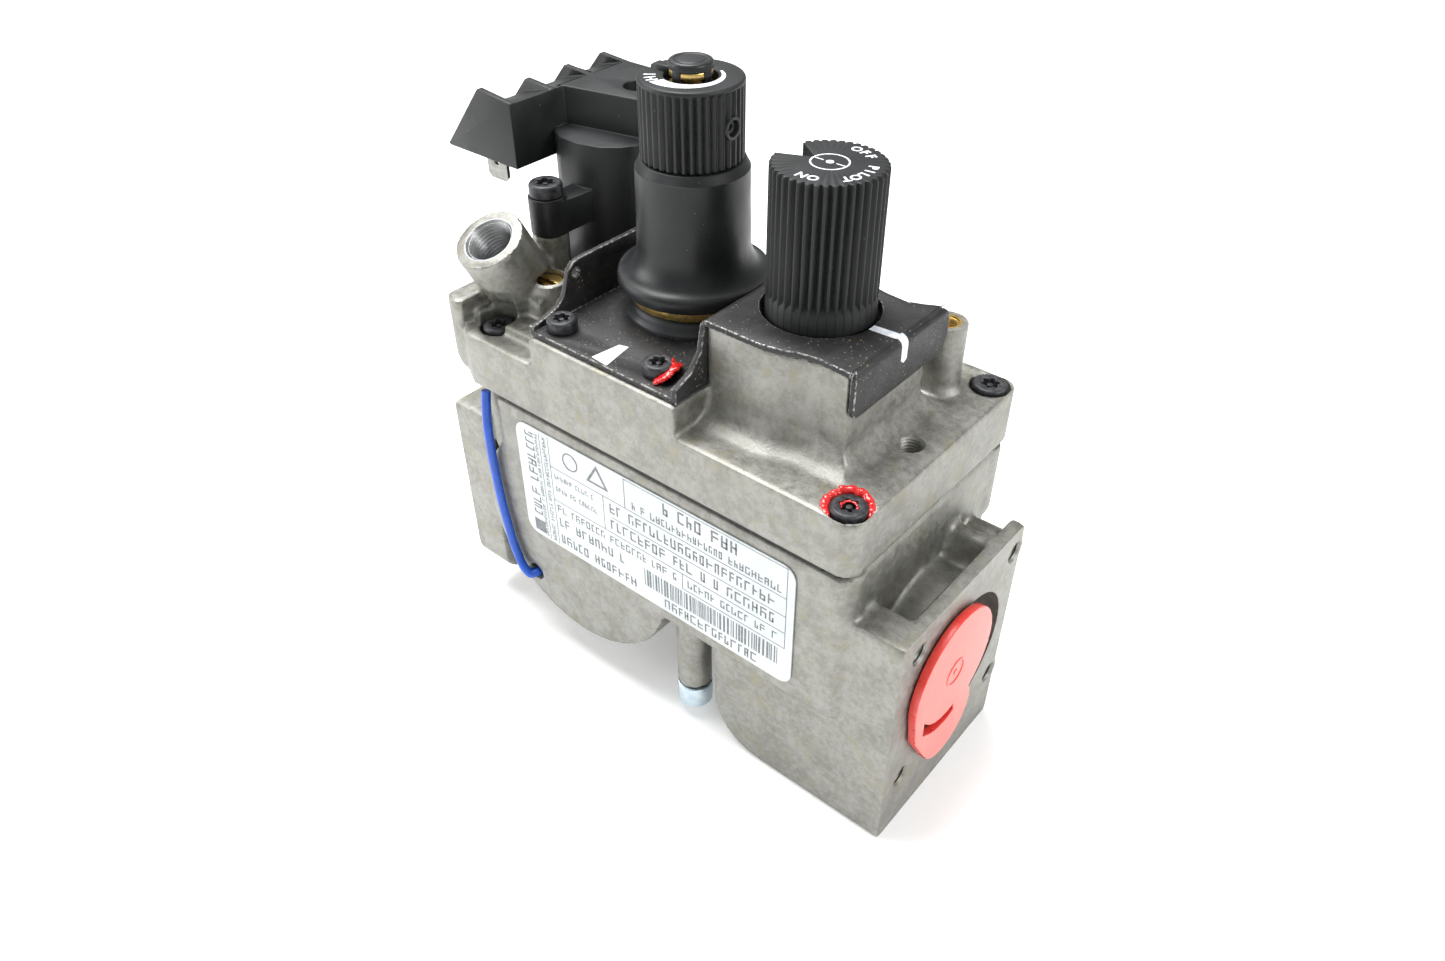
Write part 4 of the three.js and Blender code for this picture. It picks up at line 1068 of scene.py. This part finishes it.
# %% Fluted knobs
KNOB_R, KNOB_BOTTOM, KNOB_TOP = 10.2, 95.0, 128.0
NOTCH_SIDES = (151, -163)  # degrees
HI_LO_R, HI_LO_BOTTOM, HI_LO_TOP = 9.85, 119.95, 134.75
HI_LO_ROUND = 0.55
KEY_SLOT_ANGLE, KEY_SLOT_HALF = -172, 1.3
SET_SCREW_Z = 127.3


def control_knob():
    """The push-and-turn knob, with the notch that shows which way it points."""
    cx, cy = KNOB
    profile = [(0, KNOB_BOTTOM), (KNOB_R - 0.3, KNOB_BOTTOM), (KNOB_R, KNOB_BOTTOM + 0.3)]
    profile += [(KNOB_R, KNOB_TOP - 0.35), (KNOB_R - 0.35, KNOB_TOP), (0, KNOB_TOP)]
    knob = lathe("control_knob_body", profile, KNOB, 160)
    boolean(knob, ring_of(groove(KNOB, KNOB_R, 0.95, 0.88, 104.3, 1.5, 26), FLUTES, KNOB))
    notch = [(cx - 3.2, cy + 0.2)]
    for side in NOTCH_SIDES:
        a = math.radians(side)
        notch.append((cx + 14 * math.cos(a), cy + 14 * math.sin(a)))
    boolean(knob, slab("notch", notch, (KNOB_TOP - 4, KNOB_TOP + 2)))
    bevel(knob, 0.09, 2, 38)
    finish(knob, "knob", "black_plastic", PLASTIC, "control_knob")


def hi_lo_knob():
    """The regulator's knob: a bore for the stem, a key slot and a boss for the set screw."""
    cx, cy = REGULATOR
    profile = [(4.95, HI_LO_BOTTOM), (HI_LO_R - 0.3, HI_LO_BOTTOM), (HI_LO_R, HI_LO_BOTTOM + 0.3)]
    profile += [(HI_LO_R, HI_LO_TOP - HI_LO_ROUND)]
    profile += arc((HI_LO_R - HI_LO_ROUND, HI_LO_TOP - HI_LO_ROUND), HI_LO_ROUND, 0, 90, 4)
    profile += [(5.1, HI_LO_TOP), (4.95, HI_LO_TOP - 0.2)]
    knob = lathe("hi_lo_knob_body", profile, REGULATOR, 160)
    cutter = groove(REGULATOR, HI_LO_R, 0.8, 0.84, HI_LO_TOP - 0.75, -0.8, -16)
    boolean(knob, ring_of(cutter, FLUTES, REGULATOR))
    z = SET_SCREW_Z
    boolean(knob, rod("collar", (cx + 8, cy, z), (cx + HI_LO_R + 0.05, cy, z), 2.35, 2.1, 40), "UNION")
    boolean(knob, rod("screw_hole", (cx + 3, cy, z), (cx + 11, cy, z), 1.5, sides=32))
    turn = Matrix.Rotation(math.radians(KEY_SLOT_ANGLE), 2)
    corners = ((3, -KEY_SLOT_HALF), (12, -KEY_SLOT_HALF), (12, KEY_SLOT_HALF), (3, KEY_SLOT_HALF))
    slot = [tuple(Vector(REGULATOR) + turn @ Vector(corner)) for corner in corners]
    boolean(knob, slab("key_slot", slot, (HI_LO_TOP - 2.6, HI_LO_TOP + 1)))
    bevel(knob, 0.08, 2, 38)
    finish(knob, "hi_lo", "black_plastic", PLASTIC, "hi_lo_knob")


control_knob()
hi_lo_knob()

# %% [markdown]
# ## Stem, clip and set screw
# The brass stem carries a groove near its end, and a black clip cap snaps into it with
# four legs. The metal shows between the legs, so they are separate blocks under a disc.

# %% Stem, clip and set screw
CLIP_TOP = 137.6
DIMPLE = CLIP_TOP - 0.12


def stem_and_clip():
    """What stands in the middle of the Hi/Lo knob."""
    cx, cy = REGULATOR
    profile = [(0, 112), (6.6, 112), (6.8, 112.2), (6.8, 115.4), (4, 115.4), (4, 133.6), (3.45, 133.8)]
    profile += [(3.45, 134.7), (3.95, 134.9), (3.95, 135.9), (3.8, 136.1), (0, 136.1)]
    stem = bevel(lathe("turned_stem", profile, REGULATOR, 64), 0.08, 2)
    finish(stem, "hi_lo", "brass", BRASS, "hi_lo_stem")
    profile = [(0, 136.15), (4.15, 136.15), (4.15, 137.1), (4.0, 137.4), (3.7, CLIP_TOP)]
    profile += [(3.1, CLIP_TOP), (3.0, DIMPLE), (2.6, DIMPLE), (2.5, CLIP_TOP), (0, CLIP_TOP)]
    cap = lathe("clip_disc", profile, REGULATOR, 64)
    leg = block("leg", (cx + 3.5, cy - 0.9, 133.9), (cx + 4.15, cy + 0.9, 136.3))
    legs = ring_of(leg, 4, REGULATOR)
    key = block("key", (cx - 8.4, cy - 1, 133.4), (cx - 4.1, cy + 1, 135.4))
    piece = together("clip_cap", cap, legs, key)
    bevel(piece, 0.12, 2)
    finish(piece, "hi_lo", "black_plastic", SATIN_PLASTIC, "hi_lo_clip_cap")


def set_screw():
    """The small socket screw that clamps the knob on its stem."""
    (cx, cy), z = REGULATOR, SET_SCREW_Z
    screw = rod("socket_set_screw", (cx + 4.6, cy, z), (cx + 9.1, cy, z), 1.3, sides=32)
    boolean(screw, rod("hex", (cx + 7.6, cy, z), (cx + 9.5, cy, z), 0.72, sides=6))
    bevel(screw, 0.12, 2)
    finish(screw, "hi_lo", "black_screw", BLACK_STEEL, "hi_lo_set_screw")


stem_and_clip()
set_screw()

# %% [markdown]
# ## Print on the knobs
# The words stand on a circle, each letter on its own radius with its foot to the middle.
# A letter is a text object that is made a mesh before it is moved into place.

# %% Print on the knobs
PRINT = 0.05  # millimetres, the height of the paint
PRINT_R = 7.3
HI_LO_ARC = (-112, 172)  # degrees, its start and its sweep
WEDGE_STEPS = 40


def letter(character, centre, r, angle, z, size):
    """One letter standing on a circle, its head outwards."""
    bpy.ops.object.text_add()
    piece = bpy.context.active_object
    piece.data.body = character
    piece.data.size = size * MM
    piece.data.align_x = "CENTER"
    piece.data.align_y = "CENTER"
    piece.data.extrude = PRINT * MM
    piece.data.offset = 0.07 * MM
    alone(piece)
    bpy.ops.object.convert(target="MESH")
    piece = bpy.context.active_object
    a = math.radians(angle)
    place = at(centre[0] + r * math.cos(a), centre[1] + r * math.sin(a), z)
    piece.data.transform(Matrix.Translation(place) @ Matrix.Rotation(a - math.pi / 2, 4, "Z"))
    return piece


def word(text, centre, r, angle, z, size, pitch):
    """Letters round a circle, read clockwise, centred on an angle."""
    first = angle + pitch * (len(text) - 1) / 2
    return [letter(c, centre, r, first - pitch * i, z, size) for i, c in enumerate(text)]


def flat_ring(name, centre, inner, outer, z):
    """A thin painted ring."""
    return lathe(name, [(inner, z), (outer, z), (outer, z + PRINT), (inner, z + PRINT)], centre, 64)


def knob_print():
    """Off, pilot and on round a plain ring."""
    (cx, cy), z = KNOB, KNOB_TOP
    letters = []
    for text, angle, pitch in (("OFF", 72, 15), ("PILOT", -7, 13.5), ("ON", -85, 17)):
        letters += word(text, KNOB, PRINT_R, angle, z, 2.5, pitch)
    ring = flat_ring("ring", KNOB, 3.15, 3.45, z)
    dot = rod("dot", (cx, cy, z), (cx, cy, z + PRINT), 0.7, sides=32)
    dashes = [block("dash", (cx + x, cy - 0.12, z), (cx + x + 1.9, cy + 0.12, z + PRINT))
              for x in (-3.2, 1.3)]
    piece = together("knob_print", ring, dot, *dashes, *letters)
    finish(outward(piece), "knob", "label", WHITE_PAINT)


def hi_lo_print():
    """A white wedge that tapers round the bore, from high towards low."""
    (cx, cy), z = REGULATOR, HI_LO_TOP
    start, sweep = HI_LO_ARC
    outer, inner = [], []
    for i in range(WEDGE_STEPS + 1):
        t = i / WEDGE_STEPS
        a = math.radians(start + sweep * t)
        wide = 8.3 - 2.35 * t ** 0.85
        outer.append((cx + wide * math.cos(a), cy + wide * math.sin(a)))
        inner.append((cx + 5.5 * math.cos(a), cy + 5.5 * math.sin(a)))
    wedge = slab("wedge", outer + inner[::-1], (z, z + PRINT))
    piece = together("hi_lo_print", wedge, *word("HI", REGULATOR, PRINT_R, -132, z, 3.0, 17))
    finish(outward(piece), "hi_lo", "label", WHITE_PAINT)


knob_print()
hi_lo_print()

# %% [markdown]
# ## Regulator sleeve and rings
# Turned shapes are half a drawing: the profile from the axis outwards. The sleeve flares
# in one smooth sweep to a rounded lip. A brass flange and the bracket's embossed ring sit
# under it.

# %% Regulator sleeve and rings
SLEEVE_R, SLEEVE_LIP_R, SLEEVE_TOP, SLEEVE_FOOT = 11.0, 15.5, 119.8, 94.2
FLARE_STEPS = 16


def sleeve():
    """The black shroud round the regulator spring."""
    profile = [(10.6, 94.6), (14.6, SLEEVE_FOOT), (15.1, 94.35), (SLEEVE_LIP_R, 95.2)]
    profile += [(SLEEVE_LIP_R, 96.2), (15.4, 96.75)]
    for i in range(FLARE_STEPS + 1):
        a = math.pi / 2 * i / FLARE_STEPS
        profile.append((15.15 - 3.9 * math.sin(a), 103.6 - 6.5 * math.cos(a)))
    profile += [(SLEEVE_R + 0.08, 112), (SLEEVE_R, 118.1), (SLEEVE_R - 0.14, 118.2)]
    profile += [(10.15, 119.7), (10.0, SLEEVE_TOP)]
    profile += [(7.4, SLEEVE_TOP), (7.4, 118), (8.6, 118), (8.6, 97.4), (10.6, 97.4)]
    piece = lathe("flared_sleeve", profile, REGULATOR, 128)
    finish(piece, "valve_body", "black_plastic", SATIN_PLASTIC, "regulator_sleeve")


def base_ring():
    """The rounded ring embossed round the regulator."""
    profile = [(11.3, 88.25), (14.1, 88.25), (14.05, 88.8), (13.6, 89.3), (13.35, 89.9), (13.1, 90.7)]
    profile += [(12.6, 91.1), (12.1, 91.2), (11.5, 91.0), (11.3, 90.6)]
    piece = lathe("embossed_ring", profile, REGULATOR, 96)
    # Its lighter black is a painted highlight.
    finish(piece, "valve_body", "black_plastic", LIT_RING_PLASTIC, "regulator_base_ring")


sleeve()
base_ring()

# %% [markdown]
# ## Terminal block, brass body and small metal
# Moulded and turned parts have small even radii, so a bevel on the CAD copy is enough. One
# table says what each becomes: only the width of its broken edges and its finish differ.

# %% Terminal block, brass body and small metal
SOFTENED = (
    # node, piece, bevel width, segments and angle, body, slot, finish
    ("regulator_body", "brass_regulator_body", 0.18, 2, 40, "valve_body", "brass", BRASS),
    ("terminal_block", "moulded_terminal_block", 0.28, 3, 32, "valve_body", "black_plastic", PLASTIC),
    ("terminal_screw_1", "plated_terminal_screw_1", 0.15, 2, 35, "valve_body", "steel", STEEL),
    ("terminal_screw_2", "plated_terminal_screw_2", 0.15, 2, 35, "valve_body", "steel", STEEL),
    ("terminal_screw_3", "plated_terminal_screw_3", 0.15, 2, 35, "valve_body", "steel", STEEL),
    ("quick_connect_tab", "tinned_tab", 0.1, 2, 35, "valve_body", "steel", TIN),
    ("column_plug", "plated_column_plug", 0.3, 3, 35, "valve_body", "zinc", ZINC),
    ("foot_plug", "plated_foot_plug", 0.3, 3, 35, "valve_body", "zinc", ZINC),
    ("pilot_adjusting_screw", "slotted_pilot_screw", 0.15, 2, 35, "pilot_screw", "brass", BRASS),
)

for node, name, width, segments, angle, body, slot, material in SOFTENED:
    finish(bevel(cad_copy(node, name), width, segments, angle), body, slot, material, node)

# %% [markdown]
# ## Inlet cap
# The red transport cap is moulded in one: a disc, a pull tab and a crescent slot. Its
# faces are matt from the mould and its rim is glossy, so they take two finishes; the faces'
# paler, pinkish red is a painted highlight, the glare on them. A plain raised ring marks the middle.

# %% Inlet cap
CAP_CENTRE = (21.4, 36.4)
CAP_FACE = 2.1


def inlet_cap():
    """The red cap in the inlet bore."""
    piece = cad_copy("inlet_cap", "red_inlet_cap")
    bevel(piece, 0.22, 3, 35)
    bpy.ops.mesh.primitive_torus_add(
        major_radius=3.0 * MM, minor_radius=0.24 * MM, major_segments=48, minor_segments=8,
        location=at(CAP_FACE, *CAP_CENTRE), rotation=(0, math.pi / 2, 0))
    ring = settle(bpy.context.active_object)
    dot = rod("dot", (CAP_FACE - 0.2, *CAP_CENTRE), (CAP_FACE + 0.18, *CAP_CENTRE), 0.8, 0.6, 24)
    piece = together("red_inlet_cap", piece, ring, dot)
    piece.data.materials.clear()
    piece.data.materials.append(RED)
    piece.data.materials.append(PAINTED_GLARE_RED)
    # Faces that look along the bore take the pale red with its painted highlight; the rim keeps the
    # plain red.
    for face in piece.data.polygons:
        face.material_index = 1 if abs(face.normal.x) > 0.9 else 0
    finish(piece, "cap", "red_plastic", None, "inlet_cap")


inlet_cap()

# %% [markdown]
# ## Label
# The label is a thin film with rules, a bar code and rows of marks. The marks stand for
# print without spelling anything: each is a stroke or two, as small print looks from
# where it can't be read.

# %% Pens for the label
LABEL_FACE = -0.35


def bars(name, boxes):
    """Many small boxes as one mesh, each from a low to a high corner."""
    piece = block(name, *boxes[0])
    with editing(piece):
        for low, high in boxes[1:]:
            low, high = at(*low), at(*high)
            bpy.ops.mesh.primitive_cube_add(size=1, location=(low + high) / 2, scale=high - low)
    return piece


def printed(x0, x1, z0, z1):
    """A printed rectangle on the label."""
    return ((x0, LABEL_FACE - 0.03, z0), (x1, LABEL_FACE + 0.02, z1))


def rule(x0, z0, x1, z1, width=0.16):
    """A printed line, upright or level."""
    return printed(x0 - width / 2, x1 + width / 2, z0 - width / 2, z1 + width / 2)


def mark_row(chance, x0, x1, z, height, sideways=False):
    """A row of letter-like marks: uprights with a bar or two, in words."""
    boxes = []
    x, pen = x0, height * 0.15
    while x < x1 - height * 0.4:
        width = height * chance.choice((0.45, 0.55, 0.62))
        strokes = [(0, 0, pen, height)]
        for level in chance.sample((0, 0.44, 0.87), chance.choice((1, 2))):
            strokes.append((pen, height * level, width, height * level + pen))
        if chance.random() < 0.5:
            strokes.append((width - pen, 0, width, height * chance.choice((0.5, 1))))
        for a, b, c, d in strokes:
            if sideways:
                boxes.append(printed(z + height - d, z + height - b, x + a, x + c))
            else:
                boxes.append(printed(x + a, x + c, z + b, z + d))
        x += width + height * (0.9 if chance.random() < 0.16 else 0.24)
    return boxes


def bar_code(chance, x, end, z0, z1):
    """Bars and gaps of three widths each."""
    boxes = []
    while x < end:
        width = chance.choice((0.18, 0.3, 0.5))
        boxes.append(printed(x, x + width, z0, z1))
        x += width + chance.choice((0.2, 0.32, 0.5))
    return boxes


def triangle(name, left, right, foot, top, y, thickness):
    """An upright triangular plate."""
    outline = [(left, y, foot), (right, y, foot), ((left + right) / 2, y, top)]
    return prism(name, outline, (0, thickness, 0))


print("one row at 2.5 mm:", len(mark_row(random.Random(4), 0, 40, 0, 2.5)), "strokes")

# %% [markdown]
# The layout is a few tables: the rules as lines from point to point, the rows of marks as
# stretches with a height, and three rows up the left edge. All of it becomes one mesh.

# %% Label
RULES = (
    (-89.7, 34.2, -89.7, 63.9), (-87, 34.2, -87, 63.9), (-65, 56.4, -65, 64), (-65, 64, -23.8, 64),
    (-23.8, 43.2, -23.8, 64), (-87.2, 56.4, -23.8, 56.4), (-71.4, 47.3, -71.4, 56.4),
    (-69, 51.7, -23.8, 51.7), (-87, 47.3, -23.8, 47.3), (-49.8, 43.2, -49.8, 47.3),
    (-49.8, 43.2, -23.8, 43.2),
)
ROWS = (
    # from x, to x, foot, height
    (-54.5, -34, 60.4, 2.9), (-63, -25, 57.2, 1.8), (-69.6, -26, 52.8, 2.5), (-69.6, -26, 48.4, 2.5),
    (-86, -74, 53.6, 1.2), (-86, -73, 50.2, 1.2), (-86.2, -51, 44.3, 1.9), (-48.4, -26, 44.3, 1.9),
    (-86, -65, 40.2, 2.4), (-86, -63, 35.3, 2.4), (-55, -31, 34.6, 2.3),
)
SIDEWAYS_ROWS = ((40, 63.5, -94.2, 2.6), (34.6, 63.4, -91.2, 0.9), (34.6, 63.4, -88.9, 1.1))


def label():
    """The film and everything printed on it."""
    film = cad_copy("rating_label", "label_film")
    finish(film, "valve_body", "label", FILM, "rating_label")
    chance = random.Random(4)
    boxes = [rule(*line) for line in RULES] + [printed(-94.6, -91.2, 34.8, 38.2)]
    for row in ROWS:
        boxes += mark_row(chance, *row)
    for row in SIDEWAYS_ROWS:
        boxes += mark_row(chance, *row, sideways=True)
    boxes += bar_code(chance, -60.5, -25, 37.8, 42.4)
    ink = bars("label_print", boxes)
    bpy.ops.mesh.primitive_torus_add(
        major_radius=2.1 * MM, minor_radius=0.16 * MM, major_segments=32, minor_segments=4,
        location=at(-80.6, LABEL_FACE, 60.4), rotation=(math.pi / 2, 0, 0))
    ring = settle(bpy.context.active_object)
    sign = triangle("sign", -76, -69.6, 58.2, 63.4, LABEL_FACE - 0.03, 0.05)
    boolean(sign, triangle("hole", -75, -70.6, 58.7, 62.3, LABEL_FACE - 0.2, 0.5))
    finish(together("label_print", ink, ring, sign), "valve_body", "label", INK)


label()

# %% [markdown]
# ## Paint marks and sealing lacquer
# A white wedge on the bracket's floor points at the regulator. An index line runs from the
# knob's hole and bends down over the fold. Paint is a thin plate that stands just proud of
# the sheet, so the line is three plates, of which the middle one follows the fold.

# %% Paint marks
def bracket_marks():
    """White paint on the bracket: a wedge, and a stroke along the top, round the fold and down."""
    wedge = slab("floor_mark", [(-73.3, 1.7), (-69.0, 1.3), (-70.3, 8.8), (-72.3, 8.2)], (88.2, 88.26))
    stroke = [(-27.2, 25.3), (-22.1, 25.6), (-21.4, 25.9), (-21.4, 27.9), (-22.2, 27.5), (-27.2, 27.1)]
    top = slab("top_mark", stroke, (BRACKET_TOP - 0.05, BRACKET_TOP + 0.05))
    centre = (FLAP_OUTSIDE - FOLD_R, BRACKET_TOP - FOLD_R)
    fold = arc(centre, FOLD_R + 0.06, 90, 0, 6) + arc(centre, FOLD_R - 0.04, 0, 90, 6)
    bend = prism("bend_mark", [(x, 26.0, z) for x, z in fold], (0, 2.0, 0))
    run = [(26.0, 99.45), (28.0, 99.45), (28.0, 96.4), (27.0, 95.9), (26.1, 96.6)]
    down = prism("down_mark", [(FLAP_OUTSIDE - 0.05, y, z) for y, z in run], (0.1, 0, 0))
    piece = together("bracket_marks", wedge, top, bend, down)
    finish(outward(piece), "valve_body", "label", WHITE_PAINT)


bracket_marks()

# %% [markdown]
# Red lacquer seals two of the screws, so that tampering shows. It is brushed on in dabs
# that run together: small flattened spheres along an arc, melted into one by a remesh and
# a smooth. The dabs vary a little in place and size, always in the same way.

# %% Sealing lacquer
LACQUER_VOXEL = 0.18
LACQUER_ROUNDS = 9


def blobs(name, places):
    """Round dabs of lacquer, melted into one."""
    dabs = []
    for x, y, z, r, flat in places:
        bpy.ops.mesh.primitive_uv_sphere_add(
            segments=16, ring_count=10, radius=r * MM, location=at(x, y, z), scale=(1, 1, flat))
        dabs.append(settle(bpy.context.active_object))
    piece = together(name, *dabs)
    cast(piece, LACQUER_VOXEL, LACQUER_ROUNDS)
    finish(piece, "valve_body", "red_plastic", LACQUER)


def lacquer():
    """A collar of lacquer behind one cover screw, and a smear by one bracket screw."""
    chance = random.Random(7)
    x, y = spot("cover_screw_near_right")
    collar = []
    for i in range(70):
        a = math.radians(15 + 225 * i / 69)
        rise = math.sin(math.pi * i / 69)
        r = 4.05 + chance.uniform(-0.25, 0.3)
        z = 79.2 + 1.5 * rise + chance.uniform(-0.3, 0.3)
        collar.append((x + r * math.cos(a), y + r * math.sin(a), z, chance.uniform(0.55, 0.85), 0.9))
    for i in range(7):
        a = math.radians(20 + 200 * i / 6)
        collar.append((x + 1.5 * math.cos(a), y + 1.5 * math.sin(a), 80.3, 0.42, 0.8))
    blobs("lacquer_cover_screw", collar)
    x, y = spot("bracket_screw_2")
    smear = []
    for i in range(36):
        a = math.radians(-55 + 125 * i / 35)
        r = 3.3 + chance.uniform(0, 0.9)
        z = 88.6 + 1.6 * math.sin(math.pi * i / 35)
        smear.append((x + r * math.cos(a), y + r * math.sin(a), z, chance.uniform(0.5, 0.8), 0.7))
    smear += [(x + 2.2, y + 1.4, 90.6, 0.7, 0.35), (x + 2.7, y + 0.5, 90.3, 0.7, 0.5)]
    smear += [(x + 1.5, y + 2.1, 90.6, 0.6, 0.35), (x + 5.6, y + 1.9, 89.2, 0.6, 0.9)]
    blobs("lacquer_bracket_screw", smear)


lacquer()

# %% [markdown]
# ## Blue lead
# The lead comes out from under the cover, runs down past the label's edge and turns into a
# hole low in the side of the casting. It is a curve through the same points as the CAD
# tube, thickened by its own bevel.

# %% Blue lead
WIRE_R = 1.05
WIRE_POINTS = [
    (-107.2, 0.9, 66.5), (-106.8, -0.2, 61), (-106, -1.1, 53.6), (-105.4, -1.3, 45),
    (-104.2, -1.3, 33.7), (-101.6, -1.3, 22.6), (-99.6, -1.3, 19.4), (-98.4, -0.9, 18.5),
    (-97.7, 0.4, 18.6), (-97.6, 2.6, 18.8),
]


def blue_lead():
    """The insulated lead as one open curve."""
    bpy.ops.curve.primitive_bezier_curve_add()
    piece = bpy.context.active_object
    piece.name = "blue_lead"
    settle(piece)
    spline = piece.data.splines[0]
    spline.bezier_points.add(len(WIRE_POINTS) - 2)
    for point, place in zip(spline.bezier_points, WIRE_POINTS):
        point.co = at(*place)
        point.handle_left_type = point.handle_right_type = "AUTO"
    piece.data.dimensions = "3D"
    piece.data.resolution_u = 12
    piece.data.bevel_depth = WIRE_R * MM
    piece.data.bevel_resolution = 5
    piece.data.use_fill_caps = True
    piece.data.materials.append(BLUE)
    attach(piece, "valve_body")
    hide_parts("blue_wire")


blue_lead()

# %% [markdown]
# ## Inner works
# Nothing inside shows from here, but the joints move it, and a section or a repair drawing
# would show it. The CAD solids are kept and only take their finishes.

# %% Inner works
INNER_FINISHES = {
    STEEL: ("knob_return_spring", "regulator_spring_seat", "operator_plunger", "inlet_filter"),
    BRASS: ("knob_spindle", "control_rotor", "safety_valve_seat", "main_valve_seat"),
    RUBBER: ("spindle_o_ring", "safety_valve_disc", "regulator_diaphragm", "main_valve_disc",
             "main_diaphragm"),
    COPPER: ("operator_coil", "holding_magnet"),
}
for material, nodes in INNER_FINISHES.items():
    for node in nodes:
        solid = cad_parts[node]
        solid.data.materials.clear()
        solid.data.materials.append(material)
print("inner works:", sum(len(nodes) for nodes in INNER_FINISHES.values()), "nodes")

# %% [markdown]
# ## Coil springs
# A coil spring between a fixed seat and a moving disc closes up when the disc moves: the end
# on the disc goes with it and the other end stays. Here each spring is a welded steel copy of
# its CAD solid, set in the shared frame; its turns are not blended between the two bodies.

# %% Coil springs
SPRINGS = (
    # node, moving body, height of its moving end and of its still end, millimetres
    ("main_valve_spring", "main_valve", 65.8, 71.6),
    ("safety_valve_spring", "safety_valve", 39.3, 26.2),
    ("regulator_spring", "regulator_seat", 106.8, 78.2),
)


def closing_spring(node, body, moving_end, still_end):
    """A welded steel copy of a coil spring, set in the shared frame, its CAD solid hidden."""
    spring = shade(cad_copy(node, node + "_coils"))
    spring.data.materials.append(STEEL)
    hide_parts(node)
    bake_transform(spring)
    print(f"{spring.name}: blends from {body} at {moving_end} mm to valve_body at {still_end} mm")


for spring_row in SPRINGS:
    closing_spring(*spring_row)
